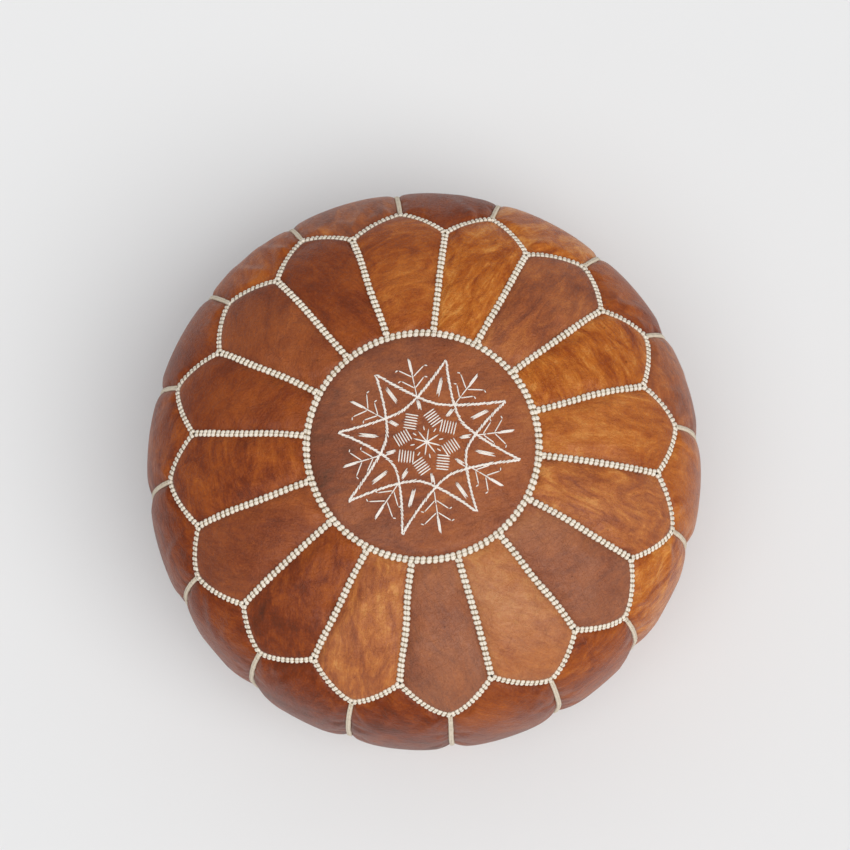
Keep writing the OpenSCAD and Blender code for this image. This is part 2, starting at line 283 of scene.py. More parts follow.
@dataclass(frozen=True)
class Hide:
    """Vegetable-tanned hide, dyed by hand: cloudy, marbled, with painted shade along its seams, with a soft
    wax sheen.

    It reads two attributes of the mesh: hide, the place on the flat skin, and dye, which holds the
    panel's depth of colour with painted light and shade worked in, its dusty bloom, which is partly painted
    sheen, how blotchy it is, and 0 at a seam to 1 inside it, which sets the painted shade along the seams.
    """

    name: str = "hide"
    umber: Colour = (0.070, 0.014, 0.003)
    chestnut: Colour = (0.190, 0.032, 0.005)
    cognac: Colour = (0.330, 0.071, 0.008)
    tan: Colour = (0.495, 0.140, 0.018)
    straw: Colour = (0.680, 0.275, 0.060)
    bloom_and_painted_sheen: Colour = (0.430, 0.275, 0.190)

    def make(self) -> bpy.types.Material:
        """Returns the material.

        Returns:
            The material.
        """
        tree = FinishTree(self.name)
        skin = tree.attribute("hide")
        depth, bloom_and_painted_sheen, blotch = tree.split(tree.attribute("dye", "Color"))
        inside = tree.attribute("dye", "Alpha")

        cloud = tree.noise(skin, 70 * MM, 3, 0.55, 0.5)
        marble = tree.noise(tree.stretched(skin, (0.55, 1.0, 1.0)), 22 * MM, 7, 0.66, 1.4)
        streak = tree.noise(tree.stretched(skin, (0.22, 1.0, 1.0)), 7 * MM, 5, 0.7, 0.8)
        fibre = tree.noise(tree.stretched(skin, (0.30, 1.0, 1.0)), 1.9 * MM, 4, 0.7, 0.4)
        fleck = tree.noise(skin, 2.1 * MM, 4, 0.7)
        vein = abs(tree.noise(skin, 38 * MM, 5, 0.62, 1.0) - 0.5).step(0.0, 0.012)
        scored = tree.noise(tree.stretched(skin, (1.0, 0.16, 1.0)), 30 * MM, 3, 0.5, 0.3)
        scratch = abs(scored - 0.42).step(0.0, 0.004)
        spot = tree.cells(skin, 26 * MM).step(0.020, 0.052)

        tone = (
            depth
            + (cloud - 0.5) * 0.50
            + (marble - 0.5) * (blotch * 1.45 + 0.20)
            + (streak - 0.5) * (blotch * 0.60 + 0.12)
            + (fibre - 0.5) * 0.30
            + (fleck - 0.5) * 0.30
            + (1 - vein) * 0.06
            + (1 - scratch) * 0.06
        )
        browns = (self.umber, self.chestnut, self.cognac, self.tan, self.straw)
        colour = tree.ramp(tone, list(zip((0.0, 0.27, 0.50, 0.74, 1.0), browns)))
        # Dusty bloom and painted sheen: a pale cast mixed over the colour
        dust_and_sheen = bloom_and_painted_sheen * (0.30 + (cloud - 0.5) * 0.5 + (fleck - 0.5) * 0.3)
        colour = tree.mix(dust_and_sheen, colour, self.bloom_and_painted_sheen)
        # Painted shade: darker towards umber along the seams, in the groove under the braid
        colour = tree.mix((1 - inside) * 0.60, colour, self.umber)
        colour = tree.mix((1 - spot) * 0.55, colour, self.umber)

        pores = tree.cells(skin, 1.5 * MM, "SMOOTH_F1")
        crease = abs(tree.noise(skin, 9 * MM, 4, 0.6, 1.1) - 0.5).step(0.0, 0.10)
        pull = tree.noise(tree.stretched(skin, (0.25, 1.0, 1.0)), 5 * MM, 3, 0.6, 0.7)
        height = pores * 0.5 + fibre * 0.4 + crease * 0.6 + pull * 0.9 + scratch * 0.4
        relief = tree.bump(height, 0.60 * MM, 0.85)
        return tree.finish(
            {
                "Base Color": colour,
                "Roughness": 0.35 - (tone - 0.5) * 0.08 + (marble - 0.5) * 0.16 + (fibre - 0.5) * 0.16,
                "Specular IOR Level": 0.15,
                "Coat Weight": 0.07,
                "Coat Roughness": 0.20,
                "Normal": relief,
            }
        )


@dataclass(frozen=True)
class Cord:
    """Silky cord wrapped over a seam.

    It reads the attribute wrap: the place along the seam and across it in each wrap, from -1 to 1,
    and a random number for the wrap.
    """

    name: str
    light: Colour
    shade: Colour
    strands: float = 3.0
    roughness: float = 0.48

    def make(self) -> bpy.types.Material:
        """Returns the material.

        Returns:
            The material.
        """
        tree = FinishTree(self.name)
        along, across, chance = tree.split(tree.attribute("wrap"))
        ply = ((along + across * 0.22) * (self.strands * math.pi)).sine() * 0.5 + 0.5
        twist = ((across * 2.2 + along * 1.4) * (2 * math.pi)).sine() * 0.5 + 0.5
        # Painted shade: darker between the wraps, at their sides where they meet the leather, and in the
        # notch down their middle
        gap = abs(along).step(0.60, 0.98)
        edge = abs(across).step(0.78, 1.0)
        notch = 1 - abs(across).step(0.0, 0.22)
        fuzz = tree.noise(tree.place(), 0.9 * MM, 3, 0.6)
        tint = ply * 0.22 + twist * 0.10 + fuzz * 0.42 + chance * 0.18 + 0.30
        tint = tint - gap * 0.85 - edge * 0.40 - notch * 0.30
        colour = tree.mix(tint.step(0.0, 0.85), self.shade, self.light)
        relief = tree.bump(ply * 0.7 + twist * 0.3 + fuzz * 0.3, 0.30 * MM, 0.8)
        return tree.finish(
            {
                "Base Color": colour,
                "Roughness": self.roughness + (fuzz - 0.5) * 0.2,
                "Sheen Weight": 0.25,
                "Sheen Roughness": 0.4,
                "Normal": relief,
            }
        )


@dataclass(frozen=True)
class Thread:
    """Twisted silk thread, which reads the attribute wrap of its stitches as Cord does."""

    name: str
    light: Colour
    shade: Colour
    roughness: float = 0.45

    def make(self) -> bpy.types.Material:
        """Returns the material.

        Returns:
            The material.
        """
        tree = FinishTree(self.name)
        along, across, chance = tree.split(tree.attribute("wrap"))
        twist = ((along * 5.0 + across * 0.9) * math.pi).sine() * 0.5 + 0.5
        fuzz = tree.noise(tree.place(), 0.6 * MM, 3, 0.6)
        # Painted shade at each stitch's ends, where the thread goes down into the leather
        tint = twist * 0.30 + fuzz * 0.45 + chance * 0.25 + 0.30 - abs(along).step(0.80, 1.0) * 0.5
        colour = tree.mix(tint.step(0.0, 0.9), self.shade, self.light)
        return tree.finish(
            {
                "Base Color": colour,
                "Roughness": self.roughness + (fuzz - 0.5) * 0.2,
                "Sheen Weight": 0.2,
                "Normal": tree.bump(twist + fuzz * 0.4, 0.15 * MM, 0.7),
            }
        )


@dataclass(frozen=True)
class Weave:
    """Plain woven cloth, on Object coordinates."""

    name: str
    warp: Colour
    weft: Colour
    yarn: float

    def make(self) -> bpy.types.Material:
        """Returns the material.

        Returns:
            The material.
        """
        tree = FinishTree(self.name)
        x, y, z = tree.split(tree.place())
        turns = 2 * math.pi / self.yarn
        over = ((x + z * 0.6) * turns).sine() * ((y + z * 0.8) * turns).sine()
        slub = tree.noise(tree.place(), 4 * self.yarn, 4, 0.6)
        colour = tree.mix((over * 0.5 + 0.5) * 0.6 + slub * 0.4, self.weft, self.warp)
        return tree.finish(
            {
                "Base Color": colour,
                "Roughness": 0.82 + (slub - 0.5) * 0.2,
                "Sheen Weight": 0.15,
                "Normal": tree.bump(over * 0.5 + slub * 0.5, 0.2 * self.yarn, 0.8),
            }
        )


@dataclass(frozen=True)
class Brass:
    """Tumbled brass, brighter where it is rubbed."""

    name: str = "zip_brass"
    bright: Colour = (0.72, 0.52, 0.22)
    dull: Colour = (0.33, 0.22, 0.09)

    def make(self) -> bpy.types.Material:
        """Returns the material.

        Returns:
            The material.
        """
        tree = FinishTree(self.name)
        patina = tree.noise(tree.place(), 2.5 * MM, 5, 0.65)
        grain = tree.noise(tree.place(), 0.25 * MM, 2, 0.5)
        return tree.finish(
            {
                "Base Color": tree.mix(patina.step(0.35, 0.62), self.dull, self.bright),
                "Metallic": 1.0,
                "Roughness": 0.30 + (0.6 - patina) * 0.35 + grain * 0.06,
                "Normal": tree.bump(grain, 0.02 * MM, 0.5),
            }
        )


@dataclass(frozen=True)
class Fibre:
    """Loose cotton stuffing."""

    name: str = "cotton_fibre"
    white: Colour = (0.80, 0.78, 0.73)
    grey: Colour = (0.55, 0.52, 0.47)

    def make(self) -> bpy.types.Material:
        """Returns the material.

        Returns:
            The material.
        """
        tree = FinishTree(self.name)
        tufts = tree.noise(tree.place(), 9 * MM, 8, 0.7, 1.5)
        colour = tree.mix(tufts.step(0.3, 0.7), self.grey, self.white)
        return tree.finish(
            {"Base Color": colour, "Roughness": 0.95, "Normal": tree.bump(tufts, 3 * MM, 0.9)}
        )


@dataclass(frozen=True)
class Paper:
    """The matt pale sheet that the pouf stands on."""

    name: str = "pale_floor"
    white: Colour = (0.815, 0.815, 0.818)

    def make(self) -> bpy.types.Material:
        """Returns the material.

        Returns:
            The material.
        """
        tree = FinishTree(self.name)
        cloud = tree.noise(tree.place(), 0.5, 2, 0.5)
        colour = tree.mix(cloud, self.white, tuple(0.985 * part for part in self.white))
        return tree.finish({"Base Color": colour, "Roughness": 0.75, "Specular IOR Level": 0.2})


# ---- The shape of the leather ----


@dataclass
class Profile:
    """The side profile: a rounded square turned about Z, flat on the floor and raised under the middle."""

    radius: float
    height: float
    waist: float
    under: float
    base_radius: float
    base_flat_radius: float
    base_height: float
    squareness: float = 3.0
    soft: float = 7 * MM
    spacing: float = 0.5 * MM
    lean: float = 9.5 * MM
    belly: float = 3.5 * MM
    r: np.ndarray = field(init=False)
    z: np.ndarray = field(init=False)
    out_r: np.ndarray = field(init=False)
    out_z: np.ndarray = field(init=False)
    run: np.ndarray = field(init=False)
    waist_index: int = field(init=False)

    def __post_init__(self) -> None:
        """Works out the profile's points, with its corners rounded, and the way out of the leather."""
        power = 2 / self.squareness
        floor_angle = math.asin((self.waist / self.under) ** (1 / power))
        angle = np.linspace(math.pi / 2, -floor_angle, 1600)
        r = self.radius * np.maximum(np.cos(angle), 0) ** power
        reach = np.where(angle > 0, self.height - self.waist, self.under)
        z = self.waist + np.sign(angle) * reach * np.abs(np.sin(angle)) ** power
        r = np.concatenate([r, [self.base_radius, self.base_flat_radius]])
        z = np.concatenate([z, [0.0, self.base_height]])
        r, z = self._even(r, z)
        r, z = self._rounded(r, z)
        r, z = self._even(r, z)
        self.r, self.z = r, z
        along_r, along_z = np.gradient(r), np.gradient(z)
        size = np.hypot(along_r, along_z)
        self.out_r, self.out_z = -along_z / size, along_r / size
        self.run = np.concatenate([[0.0], np.cumsum(np.hypot(np.diff(r), np.diff(z)))])
        self.waist_index = int(np.argmax(r))

    def _even(self, r: np.ndarray, z: np.ndarray) -> tuple[np.ndarray, np.ndarray]:
        """Returns the same line with its points evenly spaced.

        Args:
            r: distances from Z.
            z: heights.

        Returns:
            The new distances and heights.
        """
        run = np.concatenate([[0.0], np.cumsum(np.hypot(np.diff(r), np.diff(z)))])
        even = np.linspace(0, run[-1], int(run[-1] / self.spacing) + 1)
        return np.interp(even, run, r), np.interp(even, run, z)

    def _rounded(self, r: np.ndarray, z: np.ndarray) -> tuple[np.ndarray, np.ndarray]:
        """Returns the line with its corners rounded, mirrored at the crown and run on at its end.

        Args:
            r: distances from Z.
            z: heights.

        Returns:
            The new distances and heights.
        """
        half = int(self.soft / self.spacing)
        more = np.arange(1, half + 1)
        r_long = np.concatenate([-r[half:0:-1], r, r[-1] + (r[-1] - r[-2]) * more])
        z_long = np.concatenate([z[half:0:-1], z, z[-1] + (z[-1] - z[-2]) * more])
        kernel = np.hanning(2 * half + 3)[1:-1]
        kernel /= kernel.sum()
        return np.convolve(r_long, kernel, "valid"), np.maximum(np.convolve(z_long, kernel, "valid"), 0)

    def run_at(self, radius: np.ndarray | float, lower: bool = False) -> np.ndarray:
        """Returns the run at a radius, on the upper side or on the lower shoulder.

        Args:
            radius: the distance from Z.
            lower: whether the lower shoulder is meant.

        Returns:
            The run.
        """
        middle = self.waist_index
        if not lower:
            return np.interp(radius, self.r[: middle + 1], self.run[: middle + 1])
        return np.interp(-np.asarray(radius), -self.r[middle:], self.run[middle:])

    def radius_at(self, run: np.ndarray | float) -> np.ndarray:
        """Returns the distance from Z at a run."""
        return np.interp(run, self.run, self.r)

    def points(self, turn: np.ndarray, run: np.ndarray, lift: np.ndarray | float = 0.0) -> np.ndarray:
        """Returns points over the leather.

        Args:
            turn: angles about Z.
            run: distances along the profile.
            lift: height over the leather.

        Returns:
            One row of x, y and z for each point.
        """
        radius = np.interp(run, self.run, self.r) + lift * np.interp(run, self.run, self.out_r)
        height = np.interp(run, self.run, self.z) + lift * np.interp(run, self.run, self.out_z)
        radius = radius + self.uneven(turn, height)
        return np.stack([radius * np.cos(turn), radius * np.sin(turn), height + 0 * turn], axis=-1)

    def uneven(self, turn: np.ndarray, height: np.ndarray) -> np.ndarray:
        """Returns how much further out the sides stand where the stuffing has packed towards +Y.

        Args:
            turn: angles about Z.
            height: heights over the floor.

        Returns:
            The distances, in metres.
        """
        above = np.clip((height - 10 * MM) / (80 * MM), 0, 1)
        below = np.clip((252 * MM - height) / (60 * MM), 0, 1)
        share = above * above * (3 - 2 * above) * below * below * (3 - 2 * below)
        return share * (self.lean * np.sin(turn) + self.belly * np.sin(turn) ** 2)

    def normals(self, turn: np.ndarray, run: np.ndarray) -> np.ndarray:
        """Returns the directions out of the leather.

        Args:
            turn: angles about Z.
            run: distances along the profile.

        Returns:
            One row for each place.
        """
        out = np.interp(run, self.run, self.out_r)
        up = np.interp(run, self.run, self.out_z)
        return np.stack([out * np.cos(turn), out * np.sin(turn), up + 0 * turn], axis=-1)


@dataclass
class Pattern:
    """Where the seams run. A hand-sewn pouf is never quite regular, so each corner is a little off."""

    profile: Profile
    panels: int
    medallion_radius: float
    valley_radius: float
    tip_radius: float
    point_round: float = 1.3
    seed: int = 4
    turn_play: float = math.radians(0.9)
    reach_play: float = 2.6 * MM
    bow_play: float = 1.1 * MM
    valleys: list[dict[bool, Corner]] = field(init=False)
    tips: list[dict[bool, Corner]] = field(init=False)
    bows: list[tuple[float, float, float]] = field(init=False)

    def __post_init__(self) -> None:
        """Draws how far each corner is off, and how each seam bows."""
        hand = random.Random(self.seed)
        pitch = self.pitch

        def corner(turn: float, radius: float) -> Corner:
            """Returns a corner's angle and radius, a little off.

            Args:
                turn: the regular angle.
                radius: the regular radius.

            Returns:
                The angle and radius.
            """
            return (
                turn + hand.uniform(-self.turn_play, self.turn_play),
                radius + hand.uniform(-self.reach_play, self.reach_play),
            )

        every, both = range(self.panels), (False, True)
        self.valleys = [{low: corner((k + 0.5) * pitch, self.valley_radius) for low in both} for k in every]
        self.tips = [{low: corner(k * pitch, self.tip_radius) for low in both} for k in every]
        self.bows = [
            (hand.uniform(-1, 1) * self.bow_play, hand.uniform(0.6, 1.4), hand.uniform(0, 1))
            for _ in range(3 * self.panels)
        ]

    @property
    def pitch(self) -> float:
        """The angle from one petal to the next."""
        return 2 * math.pi / self.panels

    def _corner(self, corners: list[dict[bool, Corner]], k: int, lower: bool) -> Corner:
        """Returns a corner's angle and radius, with whole turns added where k runs past the last panel."""
        turn, radius = corners[k % self.panels][lower]
        return turn + 2 * math.pi * (k // self.panels), radius

    def zigzag(self, k: int, side: int, lower: bool) -> Curve:
        """Returns half of petal k's point, from its tip at 0 to the valley at 1, on side -1 or 1.

        Args:
            k: the petal's number.
            side: -1 for its left half, 1 for its right.
            lower: whether it is a bottom petal.

        Returns:
            The curve.
        """
        tip_turn, tip_radius = self._corner(self.tips, k, lower)
        valley_turn, valley_radius = self._corner(self.valleys, k if side > 0 else k - 1, lower)

        def curve(t: np.ndarray) -> Place:
            """Returns the places at t."""
            radius = tip_radius + (valley_radius - tip_radius) * t**self.point_round
            return tip_turn + (valley_turn - tip_turn) * t, self.profile.run_at(radius, lower)

        return curve

    def _seam(self, start: Corner, end: Corner, bow: tuple[float, float, float]) -> Curve:
        """Returns a nearly straight seam between two (turn, run) places.

        Args:
            start: its first end.
            end: its last end.
            bow: how far it bows, its waves and their phase.

        Returns:
            The curve.
        """
        amount, waves, phase = bow

        def curve(t: np.ndarray) -> Place:
            """Returns the places at t.

            Args:
                t: the parameter, from 0 to 1.

            Returns:
                The angles and runs.
            """
            run = start[1] + (end[1] - start[1]) * t
            wave = amount * np.sin(math.pi * t) * np.sin(2 * math.pi * (waves * t + phase))
            aside = wave / np.maximum(self.profile.radius_at(run), 50 * MM)
            return start[0] + (end[0] - start[0]) * t + aside, run

        return curve

    def petal_seam(self, k: int, lower: bool) -> Curve:
        """Returns the seam between petals k and k + 1, from the medallion or the base out to the valley.

        Args:
            k: the petal's number.
            lower: whether it is a bottom petal.

        Returns:
            The curve.
        """
        turn, radius = self._corner(self.valleys, k, lower)
        inner_run = self.profile.run[-1] if lower else self.profile.run_at(self.medallion_radius)
        inner_turn = (k + 0.5) * self.pitch + (turn - (k + 0.5) * self.pitch) * 0.4
        bow = self.bows[k % self.panels + (self.panels if lower else 0)]
        outer_run = float(self.profile.run_at(radius, lower))
        return self._seam((inner_turn, float(inner_run)), (turn, outer_run), bow)

    def side_seam(self, k: int) -> Curve:
        """Returns the seam from the upper tip of petal k down to the lower one.

        Args:
            k: the petal's number.

        Returns:
            The curve.
        """
        ends = []
        for lower in (False, True):
            turn, radius = self._corner(self.tips, k, lower)
            ends.append((turn, float(self.profile.run_at(radius, lower))))
        return self._seam(ends[0], ends[1], self.bows[k % self.panels + 2 * self.panels])

    def ring(self, first: float, last: float, run: float) -> Curve:
        """Returns part of a circle at a run, from the angle first to last."""
        return lambda t: (first + (last - first) * t, run + 0 * t)


def joined(left: Curve, right: Curve) -> Curve:
    """Returns the curve that runs back along left, from its 1 to its 0, and then on along right.

    Args:
        left: the curve that comes first.
        right: the curve that follows it.

    Returns:
        The joined curve.
    """

    def curve(t: np.ndarray) -> Place:
        """Returns the places at t.

        Args:
            t: the parameter, from 0 to 1.

        Returns:
            The angles and runs.
        """
        before = left(np.clip(1 - 2 * t, 0, 1))
        after = right(np.clip(2 * t - 1, 0, 1))
        return np.where(t < 0.5, before[0], after[0]), np.where(t < 0.5, before[1], after[1])

    return curve


@dataclass
class PanelPlan:
    """One panel between four seams: inner and outer run the same way across, left and right outwards."""

    node: str
    name: str
    slot: str
    inner: Curve
    outer: Curve
    left: Curve
    right: Curve
    flat: tuple[float, float]
    columns: int
    rows: int
    slack: float
    dye: tuple[float, float, float]

    def places(self, a: np.ndarray, v: np.ndarray) -> Place:
        """Returns the places at a across and v outwards, blended from the four seams.

        Args:
            a: shares of the way across.
            v: shares of the way outwards.

        Returns:
            The angles and runs.
        """
        zero, one = np.zeros_like(a), np.ones_like(a)
        result = []
        edges = [curve(t) for curve, t in ((self.inner, a), (self.outer, a), (self.left, v), (self.right, v))]
        corners = [curve(t) for curve in (self.inner, self.outer) for t in (zero, one)]
        for part in range(2):
            inner, outer, left, right = (edge[part] for edge in edges)
            c00, c10, c01, c11 = (corner[part] for corner in corners)
            blend = (1 - v) * inner + v * outer + (1 - a) * left + a * right
            twice = (1 - a) * (1 - v) * c00 + a * (1 - v) * c10 + (1 - a) * v * c01 + a * v * c11
            result.append(blend - twice)
        return result[0], result[1]


# ---- Meshes ----


def new_object(name: str, mesh: bpy.types.Mesh) -> bpy.types.Object:
    """Returns a new object in the scene that holds the mesh.

    Args:
        name: the piece's name.
        mesh: its mesh.

    Returns:
        The object.
    """
    made = bpy.data.objects.new(name, mesh)
    bpy.context.scene.collection.objects.link(made)
    return made


def mesh_from(bm: bmesh.types.BMesh, name: str, smooth: bool = True) -> bpy.types.Mesh:
    """Returns a mesh made from a bmesh, which is freed.

    Args:
        bm: the bmesh.
        name: the mesh's name.
        smooth: whether its faces are shaded smooth.

    Returns:
        The mesh.
    """
    mesh = bpy.data.meshes.new(name)
    bm.to_mesh(mesh)
    bm.free()
    mesh.polygons.foreach_set("use_smooth", [smooth] * len(mesh.polygons))
    return mesh


def coordinates(mesh: bpy.types.Mesh) -> np.ndarray:
    """Returns a mesh's vertices, one row each.

    Args:
        mesh: the mesh.

    Returns:
        The vertices.
    """
    flat = np.zeros(3 * len(mesh.vertices))
    mesh.vertices.foreach_get("co", flat)
    return flat.reshape(-1, 3)


def place_vertices(mesh: bpy.types.Mesh, points: np.ndarray) -> None:
    """Moves a mesh's vertices to the points."""
    mesh.vertices.foreach_set("co", points.astype(np.float32).ravel())
    mesh.update()


def set_attribute(mesh: bpy.types.Mesh, name: str, values: np.ndarray) -> None:
    """Stores three or four numbers for each vertex.

    Args:
        mesh: the mesh.
        name: the attribute's name.
        values: one row for each vertex.
    """
    kind, key = ("FLOAT_VECTOR", "vector") if values.shape[1] == 3 else ("FLOAT_COLOR", "color")
    stored = mesh.attributes.new(name, kind, "POINT")
    stored.data.foreach_set(key, values.astype(np.float32).ravel())


def dress(made: bpy.types.Object, material: bpy.types.Material, slot: str) -> None:
    """Gives a piece its finish.

    Args:
        made: the piece.
        material: its finish.
        slot: the slot's name; not used.
    """
    made.data.materials.clear()
    made.data.materials.append(material)


def hand_over(made: bpy.types.Object, body: str, *nodes: str) -> None:
    """Lets a piece ride on a body, and stand for nodes of the frame."""
    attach(made, body)
    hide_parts(*nodes)


def add_modifier(made: bpy.types.Object, kind: str, **settings: object) -> None:
    """Adds a modifier with its settings.

    Args:
        made: the piece.
        kind: the modifier's type.
        settings: its settings by name.
    """
    modifier = made.modifiers.new(kind.title(), kind)
    for name, value in settings.items():
        setattr(modifier, name, value)


def eased(t: np.ndarray, amount: float) -> np.ndarray:
    """Returns 0 to 1 with its steps closer together at both ends."""
    return t - amount * np.sin(2 * math.pi * t) / (2 * math.pi)


class Dye(Enum):
    """How a hide took its colour: its depth (0 dark, 1 light), its dusty bloom, which is partly painted
    sheen, and its blotches.
    """

    UMBER = (0.24, 0.00, 0.35)
    RUSSET = (0.33, 0.08, 0.20)
    CONKER = (0.37, 0.05, 0.50)
    KHAKI = (0.39, 0.24, 0.18)
    COCOA = (0.41, 0.74, 0.28)
    HAZEL = (0.44, 0.45, 0.65)
    COGNAC = (0.56, 0.10, 0.50)
    AMBER = (0.68, 0.00, 0.85)
    HONEY = (0.67, 0.15, 0.50)
    MARBLE = (0.62, 0.45, 0.90)
    BISCUIT = (0.71, 0.85, 0.40)


@dataclass
class Panel:
    """One panel of hide as a mesh, with what the stuffing needs to know of it."""

    plan: PanelPlan
    made: bpy.types.Object
    start: np.ndarray
    out: np.ndarray
    flat: np.ndarray
    inside: np.ndarray
    pinned: np.ndarray


@dataclass
class Cover:
    """The leather cover: the medallion, the petals, the side panels and the bottom petals."""

    profile: Profile
    pattern: Pattern
    thickness: float = 1.7 * MM
    seam_depth: float = 2.6 * MM
    roll_width: float = 3.0 * MM
    top_dyes: tuple[Dye, ...] = (
        Dye.HONEY, Dye.AMBER, Dye.HAZEL, Dye.AMBER, Dye.COGNAC, Dye.RUSSET, Dye.KHAKI, Dye.RUSSET,
        Dye.CONKER, Dye.KHAKI, Dye.CONKER, Dye.MARBLE, Dye.COCOA, Dye.BISCUIT, Dye.COCOA, Dye.MARBLE,
    )
    side_dyes: tuple[Dye, ...] = (
        Dye.HAZEL, Dye.CONKER, Dye.AMBER, Dye.RUSSET, Dye.HAZEL, Dye.CONKER, Dye.RUSSET, Dye.CONKER,
        Dye.UMBER, Dye.UMBER, Dye.UMBER, Dye.UMBER, Dye.RUSSET, Dye.CONKER, Dye.AMBER, Dye.COGNAC,
    )
    panels: list[Panel] = field(init=False, default_factory=list)

    def build(self) -> None:
        """Makes every panel, and lets the stuffing swell them."""
        hand = random.Random(11)
        for plan in self._plans():
            self.panels.append(self._panel(plan, hand))
        self.panels.append(self._medallion(hand))
        Stuffing(self.panels).swell()
        for panel in self.panels:
            self._fold(panel, hand)

    def _fold(self, panel: Panel, hand: random.Random) -> None:
        """Works soft folds into a panel, where the hide is drawn in to its corners.

        Args:
            panel: the panel.
            hand: the source of random draws.
        """
        if panel.plan.node == "medallion":
            return
        on_side = panel.plan.node.startswith("side_panel")
        width, length = np.ptp(panel.flat[:, 0]), np.ptp(panel.flat[:, 1])
        move = np.zeros(len(panel.flat))
        for i in range(7 if on_side else 3):
            # From a corner or from the middle of the end, slanting into the panel
            across = (0.06, 0.94, 0.5)[i % 3]
            down = hand.choice((0.03, 0.97)) if on_side else hand.choice((0.05, 0.85))
            start = np.array([across * width, down * length])
            lean = hand.uniform(0.25, 0.75)
            lean *= 1 if across < 0.4 else -1 if across > 0.6 else hand.choice((-1, 1)) * 0.5
            way = np.array([lean, (1 if down < 0.5 else -1) * hand.uniform(0.6, 1.0)])
            way /= np.linalg.norm(way)
            reach = hand.uniform(0.030, 0.085) if on_side else hand.uniform(0.025, 0.060)
            size = hand.uniform(2.8, 5.5) * MM
            height = hand.uniform(1.2, 2.9) * MM if on_side else hand.uniform(0.4, 0.9) * MM
            offset = panel.flat - start
            along = offset @ way
            aside = offset @ np.array([-way[1], way[0]]) + 3 * MM * np.sin(along / (18 * MM) + i)
            taper = np.exp(-(((along - 0.42 * reach) / (0.45 * reach)) ** 2))
            size = size * (0.6 + 0.8 * np.clip(along / reach, 0, 1))
            ridge = np.exp(-((aside / size) ** 2)) - 0.7 * np.exp(-(((aside - 1.5 * size) / size) ** 2))
            move += height * taper * ridge
        move *= 1 - np.exp(-((panel.inside / (5 * MM)) ** 2))
        points = coordinates(panel.made.data) + move[:, None] * panel.out
        points[:, 2] = np.maximum(points[:, 2], 0.0)
        place_vertices(panel.made.data, points)

    def _plans(self) -> list[PanelPlan]:
        """Returns the plans of the petals, side panels and bottom petals.

        Returns:
            The plans, in the order in which they are made.
        """
        pattern, profile = self.pattern, self.profile
        plans = []
        for k in range(pattern.panels):
            for lower in (False, True):
                left, right = pattern.petal_seam(k - 1, lower), pattern.petal_seam(k, lower)
                first, last = float(left(np.float64(0))[0]), float(right(np.float64(0))[0])
                inner_run = float(left(np.float64(0))[1])
                if lower:
                    node, name, slot = "bottom_petals", f"bottom_petal_{k + 1:02d}_leather", "brown_leather"
                    width, length = 0.096, 0.125
                    dye = list(Dye)[(5 * k + 2) % len(Dye)]
                else:
                    node = f"top_petal_{k + 1:02d}"
                    name, slot = f"{node}_leather", "brown_leather" if k % 3 else "tan_leather"
                    width, length = 0.092, 0.160
                    dye = self.top_dyes[k % len(self.top_dyes)]
                plans.append(
                    PanelPlan(
                        node=node,
                        name=name,
                        slot=slot,
                        inner=pattern.ring(first, last, inner_run),
                        outer=joined(pattern.zigzag(k, -1, lower), pattern.zigzag(k, 1, lower)),
                        left=left,
                        right=right,
                        flat=(width, length),
                        columns=22,
                        rows=28,
                        slack=0.15,
                        dye=dye.value,
                    )
                )
            edges = []
            for lower in (False, True):
                from_tip, to_tip = pattern.zigzag(k, 1, lower), pattern.zigzag(k + 1, -1, lower)
                edges.append(self._between(from_tip, to_tip))
            plans.append(
                PanelPlan(
                    node=f"side_panel_{k + 1:02d}",
                    name=f"side_panel_{k + 1:02d}_leather",
                    slot="tan_leather" if k % 3 == 1 else "brown_leather",
                    inner=edges[0],
                    outer=edges[1],
                    left=pattern.side_seam(k),
                    right=pattern.side_seam(k + 1),
                    flat=(0.112, 0.290),
                    columns=30,
                    rows=58,
                    slack=1.0,
                    dye=self.side_dyes[k % len(self.side_dyes)].value,
                )
            )
        return plans

    @staticmethod
    def _between(first: Curve, second: Curve) -> Curve:
        """Returns the curve from one tip into the valley and out to the next tip.

        Args:
            first: half of a point, out of the first tip.
            second: half of the next point, out of its tip.

        Returns:
            The curve.
        """

        def curve(t: np.ndarray) -> Place:
            """Returns the places at t.

            Args:
                t: the parameter, from 0 to 1.

            Returns:
                The angles and runs.
            """
            before = first(np.clip(2 * t, 0, 1))
            after = second(np.clip(2 - 2 * t, 0, 1))
            return np.where(t < 0.5, before[0], after[0]), np.where(t < 0.5, before[1], after[1])

        return curve

    def _panel(self, plan: PanelPlan, hand: random.Random) -> Panel:
        """Makes one panel: a grid, laid on the body between its seams.

        Args:
            plan: the panel's plan.
            hand: the source of random draws.

        Returns:
            The panel.
        """
        bm = bmesh.new()
        bmesh.ops.create_grid(bm, x_segments=plan.columns, y_segments=plan.rows, size=1)
        mesh = mesh_from(bm, plan.name)
        square = coordinates(mesh)
        a, v = (square[:, 0] + 1) / 2, (square[:, 1] + 1) / 2
        pinned = (np.minimum(a, 1 - a) < 1e-4) | (np.minimum(v, 1 - v) < 1e-4)
        a, v = eased(a, 0.55), eased(v, 0.55)
        turn, run = plan.places(a, v)
        width = (np.max(turn) - np.min(turn)) * self.profile.radius_at(run)
        length = np.max(run) - np.min(run)
        inside = np.minimum(np.minimum(a, 1 - a) * width, np.minimum(v, 1 - v) * length)
        return self._laid(plan, mesh, turn, run, inside, pinned, hand)

